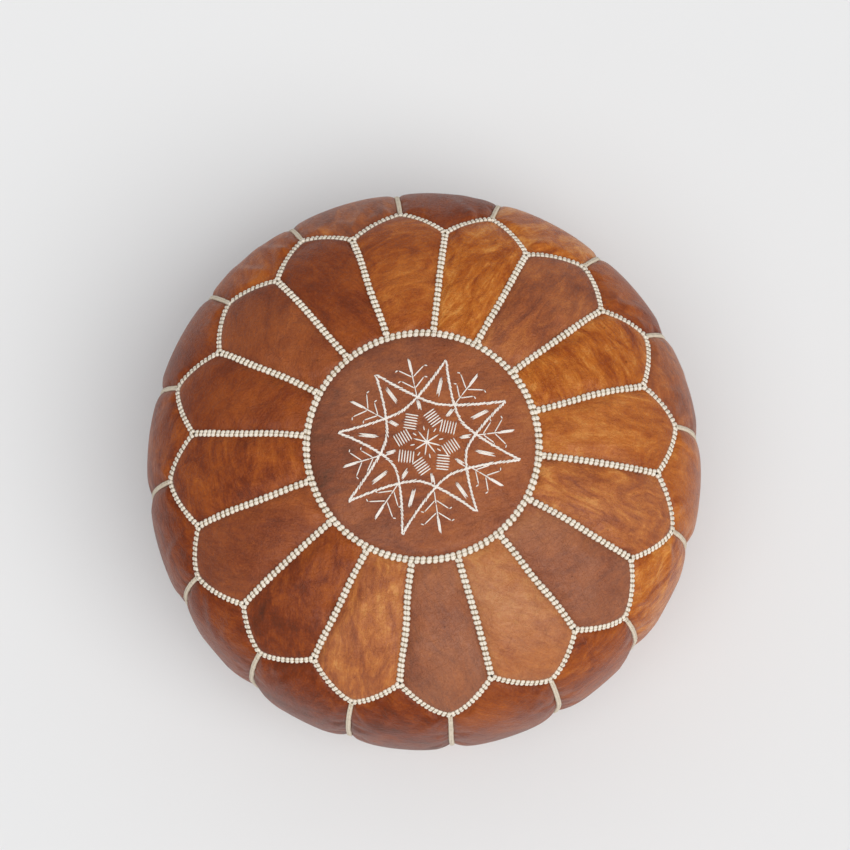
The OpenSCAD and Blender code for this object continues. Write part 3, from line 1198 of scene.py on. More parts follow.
    def _medallion(self, hand: random.Random) -> Panel:
        """Makes the medallion: a grid drawn out to a round.

        Args:
            hand: the source of random draws.

        Returns:
            The panel.
        """
        bm = bmesh.new()
        bmesh.ops.create_grid(bm, x_segments=34, y_segments=34, size=1)
        mesh = mesh_from(bm, "medallion_leather")
        square = coordinates(mesh)
        x, y = square[:, 0], square[:, 1]
        pinned = np.maximum(np.abs(x), np.abs(y)) > 1 - 1e-4
        round_x, round_y = x * np.sqrt(1 - y * y / 2), y * np.sqrt(1 - x * x / 2)
        turn = np.arctan2(round_y, round_x)
        share = np.hypot(round_x, round_y)
        rim = float(self.profile.run_at(self.pattern.medallion_radius))
        plan = PanelPlan(
            "medallion", "medallion_leather", "medallion_leather", *[self.pattern.ring(0, 1, rim)] * 4,
            flat=(2.02 * rim, 2.02 * rim), columns=34, rows=34, slack=0.1, dye=(0.33, 0.50, 0.35),
        )
        return self._laid(plan, mesh, turn, share * rim, (1 - share) * rim, pinned, hand)

    def _laid(
        self,
        plan: PanelPlan,
        mesh: bpy.types.Mesh,
        turn: np.ndarray,
        run: np.ndarray,
        inside: np.ndarray,
        pinned: np.ndarray,
        hand: random.Random,
    ) -> Panel:
        """Lays a panel's vertices on the body, rolled down into its seams, and stores its colour, with
        painted light and shade worked into it.

        Args:
            plan: the panel's plan.
            mesh: its grid.
            turn: each vertex's angle.
            run: each vertex's run.
            inside: each vertex's distance from the nearest seam.
            pinned: which vertices are sewn.
            hand: the source of random draws.

        Returns:
            The panel.
        """
        roll = np.exp(-((inside / self.roll_width) ** 2))
        puff = 1 - np.exp(-inside / (9 * MM))
        lift = -self.seam_depth * roll + puff * (1.2 * MM + 0.8 * MM * plan.slack)
        if plan.node == "bottom_petals":
            stand = self.profile.run_at(self.profile.base_radius + 18 * MM, True)
            lift = np.where(run > stand, -0.3 * MM * roll, lift)
        points = self.profile.points(turn, run, lift)
        place_vertices(mesh, points)
        if plan.node not in ("medallion", "bottom_petals"):
            mesh.flip_normals()
        grain = hand.uniform(0, math.pi)
        across, down = (turn - np.mean(turn)) * self.profile.radius_at(run), run - np.mean(run)
        if plan.node == "medallion":
            across, down = points[:, 0], points[:, 1]
        shift = [hand.uniform(-3, 3) for _ in range(3)]
        hide = np.stack(
            [
                across * math.cos(grain) - down * math.sin(grain) + shift[0],
                across * math.sin(grain) + down * math.cos(grain) + shift[1],
                np.full_like(across, shift[2]),
            ],
            axis=-1,
        )
        set_attribute(mesh, "hide", hide)
        depth, bloom_and_painted_sheen, blotch = plan.dye
        dye = np.zeros((len(points), 4))
        dye[:, :3] = depth + hand.uniform(-0.03, 0.03), bloom_and_painted_sheen, blotch
        # Painted shade: each panel is darker the further it runs from the crown
        dye[:, 0] -= 0.12 * (run - np.mean(run)) / np.ptp(run)
        # Painted light: the medallion is lighter towards +X, where the key light falls, and darker towards -X
        if plan.node == "medallion":
            dye[:, 0] += 0.02 + 0.13 * points[:, 0] / self.pattern.medallion_radius
        # Painted shade along the seams: 0 at a seam to 1 inside the panel
        dye[:, 3] = 1 - np.exp(-((inside / (3.4 * MM)) ** 1.5))
        set_attribute(mesh, "dye", dye)
        flat = np.stack([(turn - np.min(turn)) * self.profile.radius_at(run), run - np.min(run)], axis=1)
        flat[:, 0] += (np.ptp(flat[:, 0]) - np.ptp(turn) * self.profile.radius_at(run)) / 2
        out = self.profile.normals(turn, run)
        return Panel(plan, new_object(plan.name, mesh), points, out, flat, inside, pinned)

    def dress(self, hides: dict[str, bpy.types.Material]) -> None:
        """Args:
            hides: the finish for each slot.
        """
        for panel in self.panels:
            plan, made = panel.plan, panel.made
            area = sum(face.area for face in made.data.polygons)
            add_modifier(made, "SOLIDIFY", thickness=self.thickness, offset=-1.0)
            add_modifier(made, "SUBSURF", levels=1, render_levels=1)
            dress(made, hides[plan.slot], plan.slot)
            hand_over(made, "pouf", plan.node)
            whole = plan.flat[0] * plan.flat[1]
            cut = min(max(area / whole, 0.31), 1.0) * whole
            LOG.info("%s: %.0f square cm", made.name, 1e4 * area)


@dataclass
class Stuffing:
    """What the stuffing does to the panels: it presses them outwards between their sewn edges."""

    panels: list[Panel]
    frames: int = 16
    pressure: float = 3.0
    tight: float = -0.010
    loose: float = -0.034
    most_out: float = 4.4 * MM
    most_in: float = 3.0 * MM

    def swell(self) -> None:
        """Swells the panels as cloth, and moves their vertices to where it ends."""
        starts = np.concatenate([panel.start for panel in self.panels])
        outs = np.concatenate([panel.out for panel in self.panels])
        ends = self._simulated()
        move = ends - starts
        outwards = np.sum(move * outs, axis=1, keepdims=True)
        aside = move - outwards * outs
        limited = np.clip(outwards, -self.most_in, self.most_out)
        reach = np.linalg.norm(aside, axis=1, keepdims=True)
        aside *= np.minimum(1, 5 * MM / np.maximum(reach, 1e-9))
        LOG.info("stuffing: out %.1f to %.1f mm", 1000 * float(outwards.min()), 1000 * float(outwards.max()))
        ends = starts + limited * outs + aside
        ends[:, 2] = np.maximum(ends[:, 2], 0.0)
        first = 0
        for panel in self.panels:
            last = first + len(panel.start)
            place_vertices(panel.made.data, ends[first:last])
            first = last

    def _simulated(self) -> np.ndarray:
        """Returns the panels' vertices after a cloth simulation, with the seams pinned.

        Returns:
            One row for each vertex, panel by panel.
        """
        hand = random.Random(8)
        bm = bmesh.new()
        for panel in self.panels:
            bm.from_mesh(panel.made.data)
        cloth = new_object("cloth", mesh_from(bm, "cloth"))
        pins = cloth.vertex_groups.new(name="sewn")
        pinned = np.concatenate([panel.pinned for panel in self.panels])
        pins.add(np.flatnonzero(pinned).tolist(), 1.0, "REPLACE")
        slack = cloth.vertex_groups.new(name="slack")
        first = 0
        for panel in self.panels:
            last = first + len(panel.start)
            share = panel.plan.slack * hand.uniform(0.35, 1.0)
            slack.add(list(range(first, last)), share, "REPLACE")
            first = last
        modifier = cloth.modifiers.new("Cloth", "CLOTH")
        settings = modifier.settings
        settings.quality = 5
        settings.mass = 0.25
        settings.tension_stiffness = 30
        settings.compression_stiffness = 30
        settings.shear_stiffness = 15
        settings.bending_stiffness = 3.0
        settings.air_damping = 3.0
        settings.use_pressure = True
        settings.uniform_pressure_force = self.pressure
        settings.vertex_group_mass = pins.name
        settings.shrink_min = self.tight
        settings.shrink_max = self.loose
        settings.vertex_group_shrink = slack.name
        settings.effector_weights.gravity = 0
        modifier.collision_settings.use_collision = False
        scene = bpy.context.scene
        modifier.point_cache.frame_start = 1
        modifier.point_cache.frame_end = self.frames
        for frame in range(1, self.frames + 1):
            scene.frame_set(frame)
        evaluated = cloth.evaluated_get(bpy.context.evaluated_depsgraph_get())
        ends = coordinates(evaluated.data)
        bpy.data.objects.remove(cloth)
        scene.frame_set(1)
        return ends


# ---- Repeated shapes ----


def ball_mesh(around: int, stages: int) -> bpy.types.Mesh:
    """Returns a ball of radius 1 with its poles on Z.

    Args:
        around: the steps round Z.
        stages: the steps from pole to pole.

    Returns:
        The mesh.
    """
    bm = bmesh.new()
    bmesh.ops.create_uvsphere(bm, u_segments=around, v_segments=stages, radius=1)
    return mesh_from(bm, "ball")


class Copies:
    """Many copies of small shapes, gathered into one piece, with the attribute wrap."""

    def __init__(self) -> None:
        """Starts with none."""
        self.bm = bmesh.new()
        self.points: list[np.ndarray] = []
        self.notes: list[np.ndarray] = []

    def add(self, shape: bpy.types.Mesh, points: np.ndarray, frame: Matrix, notes: np.ndarray) -> None:
        """Adds one copy.

        Args:
            shape: the mesh that gives its faces.
            points: its vertices.
            frame: the frame that they are set in.
            notes: the three numbers that each vertex keeps for its finish.
        """
        self.bm.from_mesh(shape)
        matrix = np.array(frame)
        self.points.append(points @ matrix[:3, :3].T + matrix[:3, 3])
        self.notes.append(notes)

    def finished(self, name: str) -> bpy.types.Object:
        """Returns the copies as one piece.

        Args:
            name: the piece's name.

        Returns:
            The piece.
        """
        mesh = mesh_from(self.bm, name)
        place_vertices(mesh, np.concatenate(self.points))
        set_attribute(mesh, "wrap", np.concatenate(self.notes))
        return new_object(name, mesh)


# ---- Braided seams ----


@dataclass(frozen=True)
class Braid:
    """Cord wrapped over a seam: a row of plump wraps along the seam, over a dark core."""

    name: str
    pitch: float
    width: float
    height: float
    fill: float = 1.0
    slant: float = 0.14
    lobe: float = 0.30
    block: float = 3.0
    sink: float = 1.4 * MM
    around: int = 12
    stages: int = 5

    def wrap_points(self, ball: np.ndarray) -> np.ndarray:
        """Returns the points of one wrap, along X and across Y with Z up, for the points of a ball.

        Args:
            ball: the points of a ball of radius 1.

        Returns:
            The wrap's points.
        """
        # The ball drawn out towards a block with rounded corners
        reach = np.sum(np.abs(ball) ** self.block, axis=1, keepdims=True) ** (1 / self.block)
        across, up, along = (ball / reach).T
        middle = np.exp(-((across / 0.24) ** 2))
        tall = self.height * up * np.where(up > 0, 1 - self.lobe * middle, 0.5)
        side = across * self.width / 2
        forward = along * (1 - 0.5 * self.lobe * middle) * self.pitch * self.fill / 2
        return np.stack([forward + self.slant * side, side, tall], axis=1)

    def build(
        self, profile: Profile, curves: Sequence[tuple[Curve, float, float]], seed: int
    ) -> bpy.types.Object:
        """Lays wraps along the curves.

        Args:
            profile: the body that they lie on.
            curves: each seam's curve, with the lengths left free at its start and its end.
            seed: for the wraps' small differences.

        Returns:
            The braid.
        """
        hand = random.Random(seed)
        ball = ball_mesh(self.around, self.stages)
        round_points = coordinates(ball)
        wrap = self.wrap_points(round_points)
        copies = Copies()
        for curve, free_start, free_end in curves:
            t = np.linspace(0, 1, 240)
            turn, run = curve(t)
            line = profile.points(turn, run)
            length = np.concatenate([[0.0], np.cumsum(np.linalg.norm(np.diff(line, axis=0), axis=1))])
            span = length[-1] - free_start - free_end
            count = max(2, round(span / self.pitch))

            def frame_at(stop: float) -> Matrix:
                """Returns the frame at a length along the seam: X along it, Z out of the leather.

                Args:
                    stop: the length along the seam.

                Returns:
                    The frame.
                """
                low, high = (
                    profile.points(np.interp(at, length, turn), np.interp(at, length, run), -self.sink)
                    for at in (stop - MM, stop + MM)
                )
                out = profile.normals(np.interp(stop, length, turn), np.interp(stop, length, run))
                along = Vector(high - low).normalized()
                across = Vector(out).cross(along).normalized()
                frame = Matrix((along, across, along.cross(across))).transposed().to_4x4()
                frame.translation = Vector((low + high) / 2)
                return frame

            for stop in free_start + span * (np.arange(count) + 0.5) / count:
                frame = frame_at(stop + hand.uniform(-0.04, 0.04) * self.pitch) @ self._play(hand)
                chance = np.full(len(wrap), hand.random())
                notes = np.stack([round_points[:, 2], round_points[:, 0], chance], axis=1)
                copies.add(ball, wrap, frame, notes)
            stops = np.linspace(free_start, length[-1] - free_end, count + 1)
            self._core(copies, [frame_at(stop) for stop in stops])
        return copies.finished(self.name)

    @staticmethod
    def _play(hand: random.Random) -> Matrix:
        """Returns the small turn and change of size that makes each wrap its own."""
        sizes = (hand.uniform(0.94, 1.04), hand.uniform(0.92, 1.06), hand.uniform(0.90, 1.08), 1)
        return Matrix.Rotation(math.radians(hand.uniform(-5, 5)), 4, "Z") @ Matrix.Diagonal(sizes)

    def _core(self, copies: "Copies", frames: Sequence[Matrix]) -> None:
        """Adds the dark core under the wraps of one seam: a long closed spindle, flattened, that shows
        between the wraps as dark thread and painted shade.

        Args:
            copies: what the core is added to.
            frames: the seam's frames, end to end.
        """
        last = len(frames) - 1
        ball = ball_mesh(6, last)
        points = []
        for x, y, z in coordinates(ball):
            stage = round(math.acos(max(-1.0, min(1.0, z))) / math.pi * last)
            size = math.hypot(x, y)
            side, lift = (x / size, y / size) if size > 1e-6 else (0.0, 0.0)
            points.append(frames[stage] @ Vector((0, side * self.width * 0.40, lift * self.height * 0.40)))
        # Its notes put it at the ends and sides of a wrap, so the cord's finish gives it its darkest painted
        # shade
        copies.add(ball, np.array(points), Matrix(), np.tile([1.0, 1.0, 0.0], (len(points), 1)))


# ---- Embroidery ----


@dataclass
class Stitcher:
    """Lays stitches on the medallion's leather, each a thread that is plump in the middle."""

    surface: BVHTree
    seed: int
    centre: Vector
    around: int = 6
    stages: int = 4
    copies: Copies = field(init=False, default_factory=Copies)
    hand: random.Random = field(init=False)

    def __post_init__(self) -> None:
        """Makes the ball that every stitch is drawn from."""
        self.ball = ball_mesh(self.around, self.stages)
        self.hand = random.Random(self.seed)

    def on_leather(self, point: Vector) -> Vector:
        """Returns the place on the leather under a point of the plan.

        Args:
            point: a point of the plan.

        Returns:
            The place.
        """
        point = point + self.centre
        hit = self.surface.ray_cast(Vector((point.x, point.y, 1.0)), Vector((0, 0, -1)))[0]
        return hit if hit else Vector((point.x, point.y, 0.3))

    def stitch(self, start: Vector, end: Vector, width: float, tall: float, blunt: float = 2.0) -> None:
        """Lays one stitch.

        Args:
            start: where the thread comes up, in the plan.
            end: where it goes down.
            width: its width.
            tall: its height over the leather.
            blunt: 2 for ends that taper evenly, more for ends that stay thick.
        """
        low, high = self.on_leather(start), self.on_leather(end)
        middle = self.on_leather((start + end) / 2)
        along = (high - low) / 2
        across = Vector((-along.y, along.x, 0)).normalized()
        up = along.cross(across).normalized()
        if up.z < 0:
            up.negate()
        rise = max(0.0, (middle - (low + high) / 2).dot(up))
        side, lift, run = coordinates(self.ball).T
        round_here = np.sqrt(np.maximum(0, 1 - run * run))
        taper = np.sqrt(np.maximum(0, 1 - np.abs(run) ** blunt))
        scale = np.where(round_here > 1e-3, taper / np.maximum(round_here, 1e-3), 0)
        height = lift * scale * tall + rise * (1 - run * run) + 0.15 * tall
        points = np.stack([run * along.length, side * scale * width / 2, height], axis=1)
        frame = Matrix((along.normalized(), across, up)).transposed().to_4x4()
        frame.translation = (low + high) / 2
        notes = np.stack([run, side, np.full(len(run), self.hand.random())], axis=1)
        self.copies.add(self.ball, points, frame, notes)

    def line(self, points: Sequence[Vector], length: float, step: float, width: float, tall: float) -> None:
        """Works a line in stem stitch: each stitch starts halfway along the last one, a little aslant.

        Args:
            points: the line.
            length: a stitch's length.
            step: how far the needle moves on each time.
            width: a stitch's width.
            tall: a stitch's height.
        """
        runs = [0.0]
        for before, after in zip(points, points[1:]):
            runs.append(runs[-1] + (after - before).length)

        def at(run: float) -> Vector:
            """Returns the point at a distance along the line.

            Args:
                run: the distance.

            Returns:
                The point.
            """
            run = min(max(run, 0.0), runs[-1])
            for i in range(1, len(runs)):
                if run <= runs[i] or i == len(runs) - 1:
                    share = (run - runs[i - 1]) / max(runs[i] - runs[i - 1], 1e-9)
                    return points[i - 1].lerp(points[i], min(share, 1.0))
            return points[-1]

        run = 0.0
        while run < runs[-1] - step * 0.5:
            start, end = at(run), at(run + length * self.hand.uniform(0.9, 1.15))
            along = (end - start).normalized()
            aside = Vector((-along.y, along.x, 0)) * width * self.hand.uniform(0.55, 1.15)
            self.stitch(start - aside, end + aside, width, tall, 2.4)
            run += step

    def finished(self, name: str) -> bpy.types.Object:
        """Returns the stitches as one piece."""
        return self.copies.finished(name)


def polar(radius: float, turn: float) -> Vector:
    """Returns a point of the plan."""
    return Vector((radius * math.cos(turn), radius * math.sin(turn), 0))


@dataclass
class Embroidery:
    """The medallion's eight-pointed star: two bowed squares, with sprigs, spindles and a rosette."""

    surface: BVHTree
    radius: float
    turn: float
    points: int = 8
    thread: float = 1.5 * MM
    centre: Vector = field(default_factory=lambda: Vector((4.2 * MM, 0.6 * MM, 0)))
    astray: tuple[Corner, ...] = (
        (-6, -2), (-2, -4), (2, -4), (4, -2), (3, 6), (-4, 4), (1, -5), (0, 3),
    )
    tips: list[Vector] = field(init=False)

    def __post_init__(self) -> None:
        """Sets out the star's tips, each a few degrees and millimetres astray."""
        self.tips = [
            polar(self.radius + further * MM, self.turn + i * self.step + math.radians(degrees))
            for i, (degrees, further) in enumerate(self.astray)
        ]

    def _stitcher(self, seed: int) -> Stitcher:
        """Returns a new stitcher over the star's middle."""
        return Stitcher(self.surface, seed, self.centre)

    @property
    def step(self) -> float:
        """The angle from one tip to the next."""
        return 2 * math.pi / self.points

    def _side(self, i: int, count: int = 18) -> list[Vector]:
        """Returns the star's bowed side from tip i - 1 to tip i + 1, past the middle of tip i.

        Args:
            i: the number of the tip.
            count: the steps along the side.

        Returns:
            The side's points.
        """
        first, last = self.tips[i - 1], self.tips[(i + 1) % self.points]
        waist = polar(0.435 * self.radius, math.atan2(*((first + last) / 2).yx))
        chord = (first + last) / 2
        points = []
        for j in range(count + 1):
            v = 2 * j / count - 1
            straight = first.lerp(last, j / count)
            points.append(straight + (waist - chord) * (1 - abs(v) ** 1.4))
        return points

    def star(self) -> bpy.types.Object:
        """Returns the star's eight sides in stem stitch.

        Returns:
            The piece.
        """
        work = self._stitcher(21)
        for i in range(self.points):
            work.line(self._side(i), 8.2 * MM, 3.7 * MM, self.thread, 0.9 * self.thread)
        return work.finished("star_thread")

    def _crossing(self, i: int) -> float:
        """Returns the direction of the crossing after tip i."""
        first, last = self.tips[i], self.tips[(i + 1) % self.points]
        return math.atan2(*(first + last).yx)

    def sprigs(self) -> bpy.types.Object:
        """Returns a sprig outside each crossing: a stem, two pairs of barbs and a thick tip.

        Returns:
            The piece.
        """
        work = self._stitcher(22)
        fine = 0.85 * self.thread
        for i in range(self.points):
            turn = self._crossing(i) + work.hand.uniform(-0.03, 0.03)
            out, aside = polar(1, turn), polar(1, turn + math.pi / 2)
            reach = self.radius * work.hand.uniform(0.95, 1.04)
            work.stitch(out * 0.53 * reach, out * 0.68 * reach, fine, fine, 5)
            work.stitch(out * 0.66 * reach, out * 0.86 * reach, fine, fine, 5)
            for root, spread in ((0.63, 0.125), (0.76, 0.150)):
                for side in (-1, 1):
                    spread_here = spread * work.hand.uniform(0.9, 1.12) * reach
                    base = out * root * reach
                    end = base + out * 0.115 * reach + aside * side * spread_here
                    hook = end + (out * -0.35 + aside * side * 0.8).normalized() * 3.2 * MM
                    work.stitch(base, end, fine, fine, 6)
                    work.stitch(end, hook, fine, fine, 4)
            for shift in (-0.5, 0, 0.5):
                push = aside * shift * fine * 1.1
                root = out * (0.80 + 0.03 * shift) * reach + push
                end = out * (0.99 + 0.02 * shift) * reach + push
                work.stitch(root, end, 1.2 * fine, fine)
        return work.finished("sprigs_thread")

    def _spindle(self, work: Stitcher, start: Vector, end: Vector, width: float) -> None:
        """Works three threads side by side, thick in the middle.

        Args:
            work: the stitcher.
            start: one end.
            end: the other end.
            width: the width of all three.
        """
        along = (end - start).normalized()
        aside = Vector((-along.y, along.x, 0))
        for shift in (-0.5, 0.0, 0.5):
            move = along * work.hand.uniform(-1.9, 1.9) * MM + aside * shift * width
            work.stitch(start + move, end + move, width * 0.62, 0.8 * self.thread)

    def spindles(self) -> bpy.types.Object:
        """Returns the spindles inside the star's points and inside its crossings.

        Returns:
            The piece.
        """
        work = self._stitcher(23)
        for i, tip in enumerate(self.tips):
            for turn, low, high in ((math.atan2(tip.y, tip.x), 0.53, 0.75), (self._crossing(i), 0.36, 0.48)):
                start, end = polar(low * self.radius, turn), polar(high * self.radius, turn)
                self._spindle(work, start, end, 1.5 * self.thread)
        return work.finished("spindles_thread")

    def squares(self) -> bpy.types.Object:
        """Returns the small squares of parallel threads, each with a corner towards the middle.

        Returns:
            The piece.
        """
        work = self._stitcher(24)
        width, lines = 0.152 * self.radius, 6
        for i in range(self.points):
            turn = self.turn + i * self.step + work.hand.uniform(-0.07, 0.07)
            centre = polar(0.275 * self.radius * work.hand.uniform(0.96, 1.05), turn)
            tilt = turn + self.step + work.hand.uniform(-0.10, 0.10) + (math.pi / 2 if i % 2 else 0)
            along, aside = polar(1, tilt), polar(1, tilt + math.pi / 2)
            for j in range(lines):
                middle = centre + aside * (j - (lines - 1) / 2) * width / (lines - 1)
                half = along * width * work.hand.uniform(0.50, 0.54)
                work.stitch(middle - half, middle + half, 0.88 * self.thread, 0.7 * self.thread, 8)
        return work.finished("squares_thread")

    def rosette(self) -> bpy.types.Object:
        """Returns the eight-armed rosette in the middle, with a short stitch between its arms.

        Returns:
            The piece.
        """
        work = self._stitcher(25)
        reach = 0.165 * self.radius
        for i in range(self.points // 2):
            turn = self.turn + i * self.step + work.hand.uniform(-0.08, 0.08)
            work.stitch(polar(-reach, turn), polar(reach, turn), self.thread, 0.8 * self.thread, 6)
        for i in range(self.points):
            turn = self.turn + (i + 0.5) * self.step
            start, end = polar(0.13 * self.radius, turn), polar(0.185 * self.radius, turn)
            work.stitch(start, end, 0.9 * self.thread, 0.7 * self.thread, 3)
        return work.finished("rosette_thread")


# ---- The rest of the pouf ----


@dataclass
class SeamWork:
    """The seven braids of the pouf."""

    profile: Profile
    pattern: Pattern
    stand_radius: float
    lap: float = 1.3 * MM
    ring: Braid = Braid("ring_braid_cord", 5.6 * MM, 7.7 * MM, 3.2 * MM)
    petal: Braid = Braid("petal_seam_braids_cord", 5.0 * MM, 7.0 * MM, 3.0 * MM)
    zigzag: Braid = Braid("upper_zigzag_braid_cord", 4.8 * MM, 6.3 * MM, 2.9 * MM)
    side: Braid = Braid(
        "side_seam_braids_cord", 2.8 * MM, 5.2 * MM, 2.4 * MM, lobe=0.12, slant=0.35, around=8
    )
    lower: Braid = Braid("lower_zigzag_braid_cord", 4.8 * MM, 6.3 * MM, 2.9 * MM)
    bottom: Braid = Braid("bottom_seam_braids_cord", 5.0 * MM, 7.0 * MM, 3.0 * MM)
    base: Braid = Braid("base_ring_braid_cord", 5.4 * MM, 6.4 * MM, 2.0 * MM)
    pieces: list[bpy.types.Object] = field(init=False, default_factory=list)

    def build(self) -> None:
        """Lays every braid along its seams."""
        pattern, profile = self.pattern, self.profile
        every = range(pattern.panels)
        end = float(profile.run[-1])
        rim = float(profile.run_at(pattern.medallion_radius))
        stand = float(profile.run_at(self.stand_radius + 8 * MM, True))
        slope = (end + float(profile.run_at(self.stand_radius - 18 * MM, True))) / 2
        past_ring, past_zigzag = self.ring.width / 2 - self.lap, self.zigzag.width / 2 - self.lap
        courses = [
            (self.ring, [(pattern.ring(0, 2 * math.pi, rim), 0, 0)]),
            (self.petal, [(pattern.petal_seam(k, False), past_ring, past_zigzag) for k in every]),
            (self.zigzag, [(self._point(k, False), 0, 0) for k in every]),
            (self.side, [(pattern.side_seam(k), past_zigzag, past_zigzag) for k in every]),
            (self.lower, [(self._point(k, True), 0, 0) for k in every]),
            (self.bottom, [(pattern.petal_seam(k, True), end - stand, past_zigzag) for k in every]),
            (self.base, [(pattern.ring(0, 2 * math.pi, slope), 0, 0)]),
        ]
        for seed, (braid, curves) in enumerate(courses):
            self.pieces.append(braid.build(profile, curves, 40 + seed))

    def _point(self, k: int, lower: bool) -> Curve:
        """Returns the two halves of petal k's point as one curve."""
        return joined(self.pattern.zigzag(k, -1, lower), self.pattern.zigzag(k, 1, lower))

    def dress(self, cord: bpy.types.Material, flat_cord: bpy.types.Material) -> None:
        """Gives the braids their finishes: the side seams have a flatter, darker cord.

        Args:
            cord: the finish of the other braids.
            flat_cord: the finish of the side seams.
        """
        for made in self.pieces:
            is_side = made.name == self.side.name
            dress(made, flat_cord if is_side else cord, "braid_cord")
            hand_over(made, "pouf", made.name.removesuffix("_cord"))
            LOG.info("%s: %d faces", made.name, len(made.data.polygons))


@dataclass
class Base:
    """The round base in two halves of hide, with a row of stitches along the zip."""

    radius: float
    height: float
    slot: float = 11.8 * MM
    thickness: float = 1.8 * MM
    columns: int = 48
    rows: int = 28
    stitch_inset: float = 3.2 * MM
    halves: list[bpy.types.Object] = field(init=False, default_factory=list)
    stitches: list[bpy.types.Object] = field(init=False, default_factory=list)

    def build(self) -> None:
        """Makes both halves and their stitches."""
        for side, name in ((1, "left"), (-1, "right")):
            self.halves.append(self._half(side, f"base_panel_{name}_leather"))
            self.stitches.append(self._row(side, f"base_panel_{name}_stitches"))

    def _sag(self, x: np.ndarray, y: np.ndarray) -> np.ndarray:
        """Returns how far the hide sags under the stuffing, which is nothing at its edges.

        Args:
            x: distances along the zip.
            y: distances across it.

        Returns:
            The sag, in metres.
        """
        rim = np.clip(1 - np.hypot(x, y) / self.radius, 0, 1)
        zip_edge = np.clip((np.abs(y) - self.slot / 2) / (30 * MM), 0, 1)
        ripple = 0.35 * MM * np.sin(x * 90 + 1.3) * np.sin(np.abs(y) * 70 + 0.6)
        return (2.2 * MM + ripple) * np.minimum(1, 5 * rim) * zip_edge

    def _half(self, side: int, name: str) -> bpy.types.Object:
        """Makes one half: a grid drawn out to a half round.

        Args:
            side: 1 or -1, its side of the zip.
            name: its name.

        Returns:
            The piece.
        """
        bm = bmesh.new()
        bmesh.ops.create_grid(bm, x_segments=self.columns, y_segments=self.rows, size=1)
        mesh = mesh_from(bm, name)
        square = coordinates(mesh)
        x, y = square[:, 0], (square[:, 1] + 1) / 2
        across = x * np.sqrt(1 - y * y / 2) * self.radius
        up = y * np.sqrt(1 - x * x / 2) * self.radius
        away = self.slot / 2 + up * (1 - self.slot / 2 / self.radius)
        points = np.stack([across, side * away, self.height - self._sag(across, away)], axis=-1)
        place_vertices(mesh, points)
        if side > 0:
            mesh.flip_normals()
        set_attribute(mesh, "hide", points + np.array([side * 0.7, 0.4, 2.0]))
        inside = np.minimum(self.radius - np.hypot(across, away), away - self.slot / 2)
        dye = np.zeros((len(points), 4))
        dye[:, :3] = (0.30 if side > 0 else 0.36), 0.35, 0.2
        # Painted shade along the rim seam and the zip's edge: 0 there to 1 inside
        dye[:, 3] = 1 - np.exp(-((np.maximum(inside, 0) / (2.5 * MM)) ** 1.5))
        set_attribute(mesh, "dye", dye)
        return new_object(name, mesh)

    def _row(self, side: int, name: str) -> bpy.types.Object:
        """Makes a row of stitches beside the zip's edge.

        Args:
            side: 1 or -1, its side of the zip.
            name: its name.

        Returns:
            The piece.
        """
        hand = random.Random(60 + side)
        copies, ball = Copies(), ball_mesh(6, 5)
        across, up, along = coordinates(ball).T
        away = side * (self.slot / 2 + self.stitch_inset)
        reach = math.sqrt(self.radius**2 - away**2) - 8 * MM
        pitch, length = 4.2 * MM, 3.2 * MM
        points = np.stack([along * length / 2, across * 0.45 * MM, up * 0.4 * MM], axis=1)
        for i in range(int(2 * reach / pitch)):
            middle = -reach + (i + 0.5) * pitch
            sag = float(self._sag(np.float64(middle), np.float64(abs(away))))
            turn = Matrix.Rotation(math.radians(hand.uniform(-5, 5)), 4, "Z")
            frame = Matrix.Translation((middle, away, self.height - sag)) @ turn
            notes = np.stack([along, across, np.full(len(along), hand.random())], axis=1)
            copies.add(ball, points, frame, notes)
        return copies.finished(name)

    def dress(self, hide: bpy.types.Material, thread: bpy.types.Material) -> None:
        """Gives the halves their thickness and finish, and their stitches theirs.

        Args:
            hide: the finish of the halves.
            thread: the finish of the stitches.
        """
        for made, row in zip(self.halves, self.stitches):
            node = made.name.removesuffix("_leather")
            area = sum(face.area for face in made.data.polygons)
            add_modifier(made, "SOLIDIFY", thickness=self.thickness, offset=-1.0)
            dress(made, hide, "brown_leather")
            hand_over(made, "pouf", node)
            dress(row, thread, "embroidery_thread")
            hand_over(row, "pouf", node)
            LOG.info("%s: %.0f square cm", made.name, 1e4 * area)


